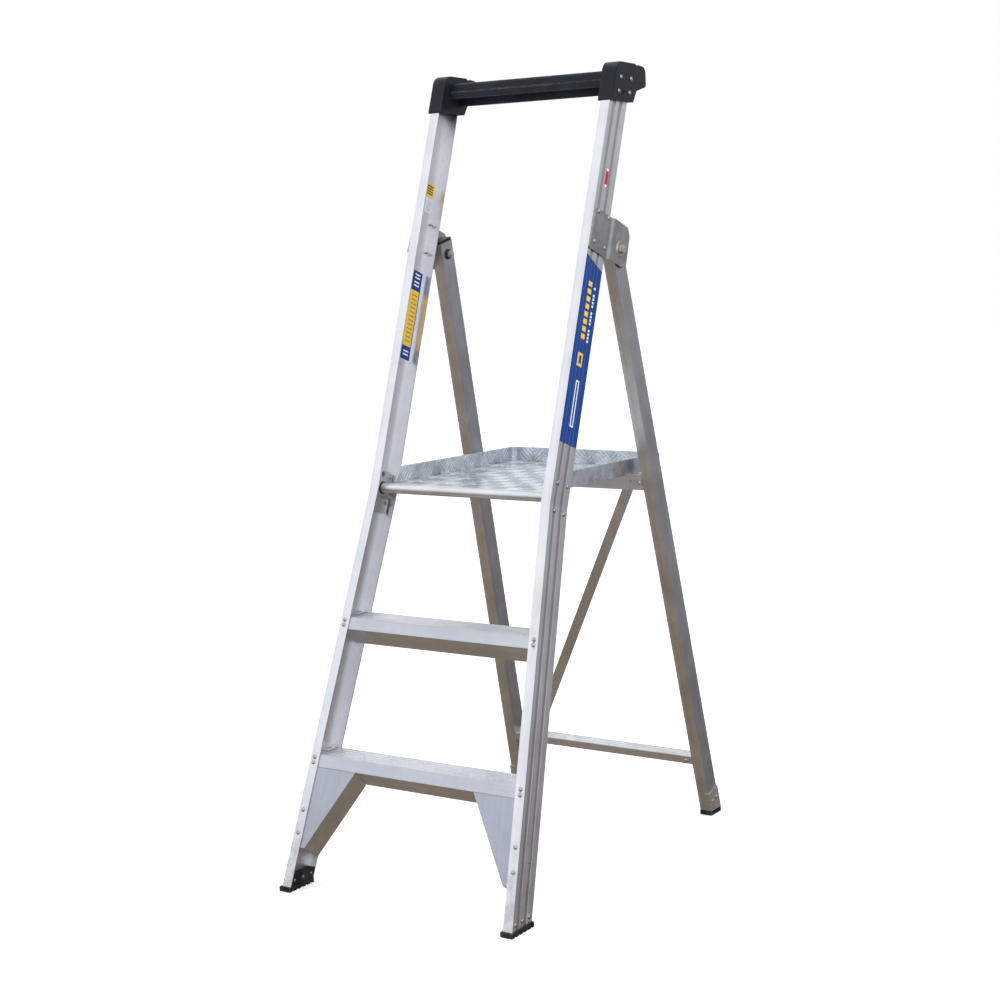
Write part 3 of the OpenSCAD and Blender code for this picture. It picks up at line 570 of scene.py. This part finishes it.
# painted shade: the sloping face of each plate's step is darkened in its colour
for node in both_sides("hinge_plate"):
    dress(node, "front_frame", ZINC_STEEL, up_the_stile, 0.5, 3,
          soften=((on_plate_step, 2.6, 4), (on_boss, 0.9, 3)), mark=dull_and_shade_mark(on_slope, 1.0))
for node in both_sides("pivot_bolt"):
    dress(node, "front_frame", ZINC_FIXING, across_the_ladder, 0.4)
for node in both_sides("tube_bracket"):
    dress(node, "front_frame", CAST_ALUMINIUM, up_the_stile, 0.8, 3)
for node in both_sides("top_cap"):
    dress(node, "front_frame", BLACK_PLASTIC, across_the_ladder, 0.6, 3, sharp=40,
          soften=((on_side_outline, 3.2, 4),))
dress("top_rail", "front_frame", BLACK_PLASTIC, across_the_ladder, 0.8, 3)
dress("platform_tray", "platform", TREAD_PLATE, across_the_ladder, 0.5)
dress("platform_tube", "platform", TUBE_ALUMINIUM, across_the_ladder, 0.3)
# painted shade: the legs' side faces are darkened in their colour
for node in both_sides("rear_leg"):
    dress(node, "rear_frame", REAR_ALUMINIUM, up_the_leg, 0.6, mark=dull_and_shade_mark(faces_side, 0.8))
for node in both_sides("leg_plug"):
    dress(node, "rear_frame", BLACK_PLASTIC, up_the_leg, 1.2, 3)
for node in both_sides("rear_foot"):
    dress(node, "rear_frame", BLACK_RUBBER, across_the_ladder, 0.9, 3)
for node in both_sides("wear_plate"):
    dress(node, "rear_frame", REAR_ALUMINIUM, up_the_leg, 0.5)
dress("upper_cross_member", "rear_frame", REAR_ALUMINIUM, across_the_ladder, 0.4)
dress("lower_cross_bar", "rear_frame", FRONT_ALUMINIUM, across_the_ladder, 0.3)
dress("diagonal_brace", "rear_frame", REAR_ALUMINIUM, up_the_leg, 0.4)

LEFT_AS_DRAWN = {
    "pivot_washers": BUSH_PLASTIC, "pivot_nuts": ZINC_FIXING, "tube_bushes": BUSH_PLASTIC,
    "pivot_bush_left": ZINC_FIXING, "pivot_bush_right": ZINC_FIXING, "upper_cleats": REAR_ALUMINIUM,
    "lower_cleats": REAR_ALUMINIUM, "brace_bolts": ZINC_FIXING}
for node, material in LEFT_AS_DRAWN.items():
    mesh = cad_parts[node].data
    mesh.materials.clear()
    mesh.materials.append(material)


# ---- geometry-node helpers ----------------------------------------------------------

def geometry_tree(name, inputs):
    """Geometry node group with named inputs: (name, type)."""
    tree = bpy.data.node_groups.new(name, "GeometryNodeTree")
    tree.interface.new_socket(name="Geometry", in_out="INPUT", socket_type="NodeSocketGeometry")
    for label, kind in inputs:
        tree.interface.new_socket(name=label, in_out="INPUT", socket_type=kind)
    tree.interface.new_socket(name="Geometry", in_out="OUTPUT", socket_type="NodeSocketGeometry")
    return tree, tree.nodes.new("NodeGroupInput").outputs, tree.nodes.new("NodeGroupOutput").inputs


def grown(name, seed_mesh, tree, values, material):
    """Plain mesh object that the tree makes from seed_mesh with these named inputs."""
    piece = bpy.data.objects.new(name, seed_mesh)
    bpy.context.collection.objects.link(piece)
    modifier = piece.modifiers.new("grow", "NODES")
    modifier.node_group = tree
    for item in tree.interface.items_tree:
        if item.in_out == "INPUT" and item.name in values:
            modifier[item.identifier] = values[item.name]
    applied(piece)
    piece.data.materials.clear()
    piece.data.materials.append(material)
    return piece


def end_tree(tree, geometry, gives, material_socket):
    real = put(tree, "GeometryNodeRealizeInstances", {"Geometry": geometry})
    dressed = put(tree, "GeometryNodeSetMaterial",
                  {"Geometry": real.outputs[0], "Material": material_socket})
    tree.links.new(dressed.outputs[0], gives["Geometry"])


# ---- rivets ---------------------------------------------------------------------------

def rivet_tree():
    """Dome heads on the outside and crimped tails on the blind side of every rivet point."""
    tree, given, gives = geometry_tree(
        "rivets", [("Head radius", "NodeSocketFloat"), ("Head rise", "NodeSocketFloat"),
                   ("Dimple radius", "NodeSocketFloat"), ("Tail radius", "NodeSocketFloat"),
                   ("Tail length", "NodeSocketFloat"), ("Metal", "NodeSocketMaterial")])
    ball = put(tree, "GeometryNodeMeshUVSphere", {"Segments": 20, "Rings": 14, "Radius": 1.0})
    spot = put(tree, "GeometryNodeInputPosition").outputs[0]
    split = apart(tree, spot)
    flat = vector_of(tree, split["X"], split["Y"])
    from_axis = put(tree, "ShaderNodeVectorMath", {0: flat}, operation="LENGTH").outputs["Value"]
    reach = times(tree, from_axis, given["Head radius"])
    dome = times(tree, sums(tree, "MAXIMUM", split["Z"], -0.06), given["Head rise"])
    pit = remap(tree, sums(tree, "DIVIDE", reach, given["Dimple radius"]), 1.1, 0.5, 0.0, 0.0011)
    top_only = sums(tree, "GREATER_THAN", split["Z"], 0.0)
    high = sums(tree, "SUBTRACT", dome, times(tree, pit, top_only))
    shaped = vector_of(tree, times(tree, split["X"], given["Head radius"]),
                       times(tree, split["Y"], given["Head radius"]), high)
    head = put(tree, "GeometryNodeSetPosition", {"Geometry": ball.outputs["Mesh"], "Position": shaped})
    head_smooth = put(tree, "GeometryNodeSetShadeSmooth", {"Geometry": head.outputs[0]})

    barrel = put(tree, "GeometryNodeMeshUVSphere", {"Segments": 14, "Rings": 10, "Radius": 1.0})
    blunt = times(tree, sums(tree, "SIGN", split["Z"]),
                  sums(tree, "POWER", sums(tree, "ABSOLUTE", split["Z"]), 0.45))
    tail_spot = vector_of(tree, times(tree, split["X"], given["Tail radius"]),
                          times(tree, split["Y"], given["Tail radius"]),
                          times(tree, blunt, given["Tail length"]))
    tail = put(tree, "GeometryNodeSetPosition", {"Geometry": barrel.outputs["Mesh"], "Position": tail_spot})
    tail_smooth = put(tree, "GeometryNodeSetShadeSmooth", {"Geometry": tail.outputs[0]})

    out, blind = (put(tree, "GeometryNodeInputNamedAttribute", {"Name": name},
                      data_type="FLOAT_VECTOR").outputs[0] for name in ("out", "blind"))
    turn = put(tree, "FunctionNodeAlignRotationToVector", {"Vector": out}, axis="Z").outputs[0]
    heads = put(tree, "GeometryNodeInstanceOnPoints", {
        "Points": given["Geometry"], "Instance": head_smooth.outputs[0], "Rotation": turn})
    moved = put(tree, "GeometryNodeSetPosition", {"Geometry": given["Geometry"], "Position": blind})
    tails = put(tree, "GeometryNodeInstanceOnPoints", {
        "Points": moved.outputs[0], "Instance": tail_smooth.outputs[0], "Rotation": turn})
    both = put(tree, "GeometryNodeJoinGeometry")
    for source in (heads, tails):
        tree.links.new(source.outputs[0], both.inputs[0])
    end_tree(tree, both.outputs[0], gives, given["Metal"])
    return tree


TAIL_INSET = 1.5 * MM   # from the blind end of the rivet's shank to the middle of its tail


def rivets_of(node):
    """Each CAD rivet of a node: head centre, outward direction and the middle of its blind tail."""
    bm = bmesh.new()
    bm.from_mesh(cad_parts[node].data)
    bmesh.ops.remove_doubles(bm, verts=bm.verts, dist=2e-6)
    left, found = set(bm.verts), []
    while left:
        ring, island = [left.pop()], []
        while ring:
            v = ring.pop()
            island.append(v.co.copy())
            for e in v.link_edges:
                o = e.other_vert(v)
                if o in left:
                    left.remove(o)
                    ring.append(o)
        middle = sum(island, Vector()) / len(island)
        far = max(island, key=lambda p: (p - middle).length)
        axis = (far - middle).normalized()
        for _ in range(6):   # the long direction, by repeated weighting
            axis = sum(((p - middle) * (p - middle).dot(axis) for p in island), Vector()).normalized()
        wide = max(island, key=lambda p: ((p - middle) - axis * (p - middle).dot(axis)).length)
        if (wide - middle).dot(axis) < 0:
            axis = -axis
        seat = (wide - middle).dot(axis)
        low = min((p - middle).dot(axis) for p in island)
        found.append((middle + axis * seat, axis, middle + axis * (low + TAIL_INSET)))
    bm.free()
    found.sort(key=lambda r: tuple(round(c, 4) for c in r[0]))
    return found


RIVETS = rivet_tree()


def place_rivets(node, body):
    rivets = rivets_of(node)
    seeds = bpy.data.meshes.new(node + "_points")
    seeds.from_pydata([r[0] for r in rivets], [], [])
    out = seeds.attributes.new("out", "FLOAT_VECTOR", "POINT")
    blind = seeds.attributes.new("blind", "FLOAT_VECTOR", "POINT")
    for i, (_, axis, tail) in enumerate(rivets):
        out.data[i].vector = axis
        blind.data[i].vector = tail
    piece = grown(node + "_shown", seeds, RIVETS, {
        "Head radius": 5.2 * MM, "Head rise": 3.1 * MM, "Dimple radius": 1.5 * MM, "Tail radius": 3.3 * MM,
        "Tail length": 1.8 * MM, "Metal": RIVET_METAL}, RIVET_METAL)
    lay_grain(piece, across_the_ladder)
    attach(piece, body)
    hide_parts(node)


for node in ("step_rivets", "gusset_rivets", "shoe_rivets", "hinge_rivets", "tube_bracket_rivets",
             "cap_rivets"):
    place_rivets(node, "front_frame")
for node in ("rear_rivets", "wear_plate_rivets"):
    place_rivets(node, "rear_frame")


# ---- raised bars of the tread plate ---------------------------------------------------

def bar_tree():
    """Groups of parallel raised bars, two crossing sets, over a rectangle of the flat plate."""
    tree, given, gives = geometry_tree(
        "raised_bars", [(label, "NodeSocketInt") for label in ("Columns", "Rows", "Bars")]
        + [(label, "NodeSocketFloat") for label in ("Pitch X", "Pitch Y", "Cross X", "Cross Y", "Spacing",
                                                    "Length", "Width", "Rise")]
        + [("Metal", "NodeSocketMaterial")])
    # one bar: a rounded ridge that thins to both ends
    half = times(tree, given["Length"], 0.5)
    ends = {"Start": vector_of(tree, times(tree, half, -1.0)), "End": vector_of(tree, half)}
    spine = put(tree, "GeometryNodeCurvePrimitiveLine", ends)
    points = put(tree, "GeometryNodeResampleCurve", {"Curve": spine.outputs[0], "Count": 8})
    factor = put(tree, "GeometryNodeSplineParameter").outputs["Factor"]
    off = sums(tree, "ABSOLUTE", sums(tree, "MULTIPLY_ADD", factor, 2.0, -1.0))
    full = sums(tree, "SUBTRACT", 1.0, sums(tree, "POWER", off, 4.0))
    thin = sums(tree, "SQRT", sums(tree, "MAXIMUM", full, 0.02))
    ring = put(tree, "GeometryNodeCurvePrimitiveCircle", {"Resolution": 8, "Radius": 1.0})
    spot = put(tree, "GeometryNodeInputPosition").outputs[0]
    part = apart(tree, spot)
    oval = vector_of(tree, times(tree, part["X"], times(tree, given["Width"], 0.5)),
                     times(tree, part["Y"], given["Rise"]))
    section = put(tree, "GeometryNodeSetPosition", {"Geometry": ring.outputs[0], "Position": oval})
    ridge = put(tree, "GeometryNodeCurveToMesh", {
        "Curve": points.outputs[0], "Profile Curve": section.outputs[0], "Fill Caps": True, "Scale": thin})
    smooth = put(tree, "GeometryNodeSetShadeSmooth", {"Geometry": ridge.outputs[0]})
    # a group of bars side by side
    width = times(tree, sums(tree, "SUBTRACT", given["Bars"], 1.0), given["Spacing"])
    first = vector_of(tree, y=times(tree, width, -0.5))
    step = vector_of(tree, y=given["Spacing"])
    row = put(tree, "GeometryNodeMeshLine", {"Count": given["Bars"], "Start Location": first, "Offset": step})
    bars = put(tree, "GeometryNodeInstanceOnPoints",
               {"Points": row.outputs[0], "Instance": smooth.outputs[0]})
    both = put(tree, "GeometryNodeJoinGeometry")
    for turn, shift in ((45, 0.0), (-45, 1.0)):
        size_x = times(tree, sums(tree, "SUBTRACT", given["Columns"], 1.0), given["Pitch X"])
        size_y = times(tree, sums(tree, "SUBTRACT", given["Rows"], 1.0), given["Pitch Y"])
        field = put(tree, "GeometryNodeMeshGrid", {
            "Size X": size_x, "Size Y": size_y, "Vertices X": given["Columns"], "Vertices Y": given["Rows"]})
        move = vector_of(tree, times(tree, given["Cross X"], shift), times(tree, given["Cross Y"], shift))
        spots = put(tree, "GeometryNodeSetPosition", {"Geometry": field.outputs["Mesh"], "Offset": move})
        laid = put(tree, "GeometryNodeInstanceOnPoints", {
            "Points": spots.outputs[0], "Instance": bars.outputs[0], "Rotation": (0, 0, math.radians(turn))})
        tree.links.new(laid.outputs[0], both.inputs[0])
    end_tree(tree, both.outputs[0], gives, given["Metal"])
    return tree


BARS = bar_tree()
PITCH_X, PITCH_Y = 0.074, 0.088
BAR_SIZES = {
    "Pitch X": PITCH_X, "Pitch Y": PITCH_Y, "Cross X": PITCH_X / 2, "Cross Y": PITCH_Y / 2, "Bars": 5,
    "Spacing": 8.6 * MM, "Length": 40 * MM, "Width": 4.6 * MM, "Rise": 1.3 * MM, "Metal": TREAD_PLATE}


def build_bar_zone():
    """Where the floor's bar groups lie, for painted shade among the bars: 1 in the groups, 0 on the bare
    plate between them.
    """
    g, given, gives = new_group(
        "bar_zone",
        [("Place", "NodeSocketVector", None), ("Normal", "NodeSocketVector", None),
         ("Start X", "NodeSocketFloat", 0.0), ("Start Y", "NodeSocketFloat", 0.0),
         ("Pitch X", "NodeSocketFloat", 0.1), ("Pitch Y", "NodeSocketFloat", 0.1)],
        [("Zone", "NodeSocketFloat")])
    parts = apart(g, given["Place"])
    waves = []
    for axis in "XY":
        off = sums(g, "SUBTRACT", parts[axis], given["Start " + axis])
        turns = sums(g, "DIVIDE", off, given["Pitch " + axis])
        waves.append(sums(g, "COSINE", times(g, turns, 2 * math.pi)))
    wobble = sums(g, "MULTIPLY_ADD", noise(g, given["Place"], 120.0, 2.0), 0.3, -0.15)
    pattern = sums(g, "ADD", times(g, waves[0], waves[1]), wobble)
    level = remap(g, apart(g, given["Normal"])["Z"], 0.7, 0.95)
    g.links.new(times(g, remap(g, pattern, -0.22, 0.02), level), gives["Zone"])
    return g


def shade_bar_zones(start_x, start_y):
    """Painted shade: greyer metal among the bars, with the bare plate between the bar groups left brighter.
    """
    tree = TREAD_PLATE.node_tree
    surface = next(n for n in tree.nodes if n.bl_idname == "ShaderNodeBsdfPrincipled")
    place = put(tree, "ShaderNodeTexCoord").outputs["Object"]
    normal = put(tree, "ShaderNodeNewGeometry").outputs["Normal"]
    zone = group_node(tree, build_bar_zone(), {
        "Place": place, "Normal": normal, "Start X": start_x, "Start Y": start_y, "Pitch X": PITCH_X,
        "Pitch Y": PITCH_Y})["Zone"]
    below = surface.inputs["Base Color"].links[0].from_socket
    # painted shade: the plate among the bars is multiplied darker
    shaded_among_bars = blend_colour(tree, zone, below, (0.56, 0.60, 0.64, 1), "MULTIPLY")
    tree.links.new(shaded_among_bars, surface.inputs["Base Color"])


def trimmed(piece, planes):
    """Cuts the piece away beyond each plane (place, outward direction) and closes the cuts."""
    bm = bmesh.new()
    bm.from_mesh(piece.data)
    for place, out in planes:
        cut = bmesh.ops.bisect_plane(bm, geom=bm.verts[:] + bm.edges[:] + bm.faces[:], dist=1e-7,
                                     plane_co=place, plane_no=out, clear_outer=True)
        rims = [e for e in cut["geom_cut"] if isinstance(e, bmesh.types.BMEdge)]
        bmesh.ops.holes_fill(bm, edges=rims, sides=0)
    bm.to_mesh(piece.data)
    bm.free()


def lay_bars(name, columns, rows, to_world, planes, shift=(0, 0), **sizes):
    """Raised bars over one flat face of the tray. to_world turns the flat pattern onto the face."""
    seeds = bpy.data.meshes.new(name + "_seed")
    piece = grown(name, seeds, BARS, {**BAR_SIZES, "Columns": columns, "Rows": rows, **sizes}, TREAD_PLATE)
    piece.data.transform(to_world @ Matrix.Translation((shift[0], shift[1], 0)))
    trimmed(piece, planes)
    # painted shade: the bars are a little darker than the plate they stand on
    dull_and_shade_mark(lambda face: True, 0.15)(piece)
    lay_grain(piece, across_the_ladder)
    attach(piece, "platform")
    return piece


tray_low, tray_high = (Vector(c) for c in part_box("platform_tray"))
PLATE = 3 * MM
FLOOR_TOP = tray_low.z + PLATE
tube_low, tube_high = (Vector(c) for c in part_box("platform_tube"))
TUBE_Y = (tube_low.y + tube_high.y) / 2
inner_x = tray_high.x - PLATE
inner_rear = tray_high.y - PLATE
mid_y = (TUBE_Y + inner_rear) / 2
SINK = 0.2 * MM                   # how deep a bar's foot lies in the plate
BARE_EDGE = 0.4 * MM              # flat left at the top of a lip
BARE_FRONT = 0.013                # flat left behind the tube
FLOOR_SHIFT = (-0.03, 0.011)      # offset of the floor's pattern from the middle
SLANT = 0.032                     # length over which a side lip rises from the front
CORNER = 0.018                    # rounded corner between side and rear lips
UP, BACK = Vector((0, 0, 1)), Vector((0, 1, 0))


def side_planes(x):
    return [(ACROSS * x, ACROSS), (ACROSS * -x, -ACROSS)]


lay_bars("floor_bars", 7, 8, Matrix.Translation((0, mid_y, FLOOR_TOP - SINK)),
         side_planes(inner_x) + [(BACK * inner_rear, BACK), (BACK * (TUBE_Y + BARE_FRONT), -BACK)],
         shift=FLOOR_SHIFT)
shade_bar_zones(FLOOR_SHIFT[0], mid_y + FLOOR_SHIFT[1] + PITCH_Y / 2)
LIP_TOP = tray_high.z
LIP_MIDDLE = (FLOOR_TOP + LIP_TOP) / 2
slant_foot = Vector((0, TUBE_Y + SLANT, FLOOR_TOP))
slant_out = Vector((0, -(LIP_TOP - FLOOR_TOP), SLANT)).normalized()
lip_planes = [(UP * (LIP_TOP - BARE_EDGE), UP), (UP * FLOOR_TOP, -UP)]
for sign, name in ((-1, "left"), (1, "right")):
    # flat pattern X runs up the lip, Y runs back along it
    turn = Matrix(((0, 0, -sign, sign * (inner_x + SINK)), (0, 1, 0, mid_y), (1, 0, 0, LIP_MIDDLE),
                   (0, 0, 0, 1)))
    if turn.to_3x3().determinant() < 0:
        turn = turn @ Matrix.Diagonal((1, -1, 1, 1))
    lay_bars("lip_bars_" + name, 1, 8, turn,
             lip_planes + [(BACK * (inner_rear - CORNER), BACK), (slant_foot, slant_out)],
             shift=(0, 0.02), **{"Cross X": 0.0})
rear_turn = Matrix(((1, 0, 0, 0), (0, 0, -1, inner_rear + SINK), (0, 1, 0, LIP_MIDDLE), (0, 0, 0, 1)))
lay_bars("lip_bars_rear", 6, 1, rear_turn, lip_planes + side_planes(inner_x - CORNER), shift=(-0.02, 0),
         **{"Cross Y": 0.0})


# ---- stickers ------------------------------------------------------------------------------

def sticker(name, face_x, outward, depths, v_low, v_high, material, cells=24, droop=0.0):
    """Thin vinyl on a web, in mm: depths is the path across it as (depth, x offset).

    outward is +1 or -1 along X, and droop is how far the top edge falls from front to back."""
    thickness = 0.18 * MM
    bm = bmesh.new()
    uv = bm.loops.layers.uv.new("grain")
    rows = []
    first, last = depths[0][0], depths[-1][0]
    for i in range(cells + 1):
        row = []
        for d, off in depths:
            top = v_high - droop * (d - first) / (last - first)
            v = v_low + (top - v_low) * i / cells
            x = face_x + outward * (off * MM + thickness)
            row.append(bm.verts.new(on_front(x, d * MM, v * MM)))
        rows.append(row)
    for i in range(cells):
        for j in range(len(depths) - 1):
            face = bm.faces.new((rows[i][j], rows[i][j + 1], rows[i + 1][j + 1], rows[i + 1][j]))
            face.normal_update()
            if face.normal.x * outward < 0:
                face.normal_flip()
            for loop in face.loops:
                local = loop.vert.co - FOOT
                loop[uv].uv = (local.dot(INTO_STILE) - first * MM, local.dot(UP_STILE) - v_low * MM)
    piece = piece_from(bm, name, material)
    skin = piece.modifiers.new("skin", "SOLIDIFY")
    skin.thickness = thickness
    skin.offset = -1
    applied(piece)
    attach(piece, "front_frame")
    return piece


WHITE_INK = (0.80, 0.82, 0.85, 1)
BLUE = (0.001, 0.045, 0.24, 1)
YELLOW = (0.78, 0.50, 0.03, 1)
DARK_INK = (0.02, 0.02, 0.025, 1)
GREY_INK = (0.35, 0.37, 0.42, 1)


def bar(ink, x, y, half_x, half_y):
    """One printed bar, in mm from the sticker's lower front corner."""
    return ink, (x * MM, y * MM), (half_x * MM, half_y * MM)


side_print = ([bar(YELLOW, 33, 242 + 17 * i, 7.5, 5.6) for i in range(8)]
              + [bar(WHITE_INK, 55, 236 + 8 * i, 2.6, 2.6) for i in range(16) if i % 5 != 4]
              + [bar(WHITE_INK, 40, 92, 8, 52), bar(BLUE, 40, 92, 4.5, 49), bar(YELLOW, 36, 190, 11, 15),
                 bar(BLUE, 36, 190, 6, 9)])
# the web's path dips into its two grooves
web_path = [(1.0, 0), (13.3, 0), (15.0, -1.1), (26.0, -1.1), (27.7, 0), (41.3, 0), (43.0, -1.1), (55.0, -1.1),
            (56.7, 0), (75.0, 0)]
sticker("web_sticker_right", HALF_TOP, 1, web_path, 1045, 1466, vinyl("side_vinyl", BLUE, side_print),
        droop=20)
small_print = [bar(WHITE_INK, 5.5, y, 4.2, 3) for y in (4, 41)]
sticker("small_sticker_right", HALF_TOP, 1, [(30, 0), (41, 0)], 1628, 1673,
        vinyl("red_vinyl", (0.48, 0.01, 0.02, 1), small_print), cells=4)
inner_web = -(HALF_TOP - STILE_WALL)
notice_print = [bar(DARK_INK, 16, y, 12, 1.5) for y in (7, 13, 19, 25)]
sticker("notice_sticker_left", inner_web, 1, [(26, 0), (58, 0)], 1629, 1661,
        vinyl("notice_vinyl", YELLOW, notice_print), cells=4)
pale_print = [bar(GREY_INK, 13, y, 9, 0.8) for y in range(6, 30, 5)]
sticker("pale_sticker_left", inner_web, 1, [(30, 0), (56, 0)], 1591, 1626,
        vinyl("pale_vinyl", (0.62, 0.64, 0.68, 1), pale_print), cells=4)
panel_print = ([bar(YELLOW, 16.5, 99, 16.5, 66.8)] + [bar(BLUE, 18, y, 11, 1.0) for y in range(44, 156, 10)]
               + [bar(WHITE_INK, 18, y, 10, 1.6) for y in (12, 20, 178, 186, 196, 204)])
sticker("panel_sticker_left", inner_web, 1, [(30, 0), (66, 0)], 1235, 1447,
        vinyl("panel_vinyl", BLUE, panel_print), cells=12)


# ---- surroundings, light and camera -------------------------------------------------------

def make_floor():
    bm = bmesh.new()
    bmesh.ops.create_grid(bm, x_segments=1, y_segments=1, size=30)
    m, tree, surface, place, _ = start_material("studio_floor", 0.0, Roughness=0.9)
    pale = blend_colour(tree, noise(tree, place, 3.0, 4.0), (0.86, 0.86, 0.86, 1), (0.90, 0.90, 0.90, 1))
    tree.links.new(pale, surface.inputs["Base Color"])
    surface.inputs["Emission Color"].default_value = (1, 1, 1, 1)
    surface.inputs["Emission Strength"].default_value = 0.35
    floor = piece_from(bm, "floor", m)
    floor.visible_glossy = False


def make_world():
    """Pale studio: white above, warm and darker below the horizon and behind on the right."""
    world = bpy.data.worlds.new("studio")
    bpy.context.scene.world = world
    world.use_nodes = True
    tree = world.node_tree
    tree.nodes.clear()
    way = put(tree, "ShaderNodeTexCoord").outputs["Generated"]
    height = apart(tree, way)["Z"]
    ramp = put(tree, "ShaderNodeValToRGB", {0: sums(tree, "MULTIPLY_ADD", height, 0.5, 0.5)})
    stops = ramp.color_ramp.elements
    levels = [(0.0, (0.20, 0.165, 0.13)), (0.30, (0.26, 0.215, 0.165)), (0.37, (0.29, 0.26, 0.235)),
              (0.44, (0.55, 0.54, 0.64)), (0.497, (0.62, 0.61, 0.70)), (0.515, (0.80, 0.82, 0.86)),
              (0.60, (1.02, 1.04, 1.09)), (1.0, (1.03, 1.03, 1.05))]
    while len(stops) < len(levels):
        stops.new(0.5)
    for stop, (place, colour) in zip(stops, levels):
        stop.position = place
        stop.color = (*colour, 1)
    away = put(tree, "ShaderNodeVectorMath", {0: way, 1: (0.55, 0.83, 0.0)},
               operation="DOT_PRODUCT").outputs["Value"]
    dim = remap(tree, away, 0.55, 0.98, 1.0, 0.62)
    lit = blend_colour(tree, 1.0, ramp.outputs[0], vector_of(tree, dim, dim, dim), "MULTIPLY")
    seen = put(tree, "ShaderNodeLightPath").outputs["Is Camera Ray"]
    shown = blend_colour(tree, seen, lit, (1.0, 1.0, 1.0, 1))
    back = put(tree, "ShaderNodeBackground", {"Color": shown, "Strength": 1.0})
    out = put(tree, "ShaderNodeOutputWorld")
    tree.links.new(back.outputs[0], out.inputs["Surface"])


def soft_light(name, place, target, size, watts, mirrored=False):
    data = bpy.data.lights.new(name, "AREA")
    data.shape = "RECTANGLE"
    data.size, data.size_y = size
    data.energy = watts
    lamp = bpy.data.objects.new(name, data)
    bpy.context.collection.objects.link(lamp)
    lamp.location = place
    lamp.rotation_mode = "QUATERNION"
    lamp.rotation_quaternion = (Vector(target) - Vector(place)).to_track_quat("-Z", "Y")
    lamp.visible_glossy = mirrored


def make_camera():
    """Viewing angle: from the user's right, a little above the platform."""
    yaw, pitch, roll = 0.5672, -0.1250, -0.0213
    stand = Vector((2.22183, -3.01624 + FOOT_LINE, 1.35519))
    ahead = Vector((-math.sin(yaw) * math.cos(pitch), math.cos(yaw) * math.cos(pitch), math.sin(pitch)))
    right = Vector((math.cos(yaw), math.sin(yaw), 0))
    above = right.cross(ahead)
    rolled_right = right * math.cos(roll) + above * math.sin(roll)
    rolled_up = above * math.cos(roll) - right * math.sin(roll)
    data = bpy.data.cameras.new("camera")
    data.sensor_width = 36
    data.lens = 65.42
    data.shift_x, data.shift_y = -0.0017, -0.0004
    data.clip_start, data.clip_end = 0.1, 200
    camera = bpy.data.objects.new("camera", data)
    bpy.context.collection.objects.link(camera)
    turn = Matrix((rolled_right, rolled_up, -ahead)).transposed().to_4x4()
    camera.matrix_world = Matrix.Translation(stand) @ turn
    bpy.context.scene.camera = camera


make_floor()
make_world()
soft_light("key", (-2.6, -3.6, 3.4), (0, 0, 0.9), (3.0, 3.0), 48)
soft_light("top", (0.6, 0.4, 4.4), (0, 0, 0.9), (3.5, 3.5), 36)
soft_light("fill", (3.8, -1.2, 2.2), (0, 0, 1.0), (2.2, 2.2), 12, mirrored=True)
make_camera()
bpy.context.scene.view_settings.view_transform = "Standard"
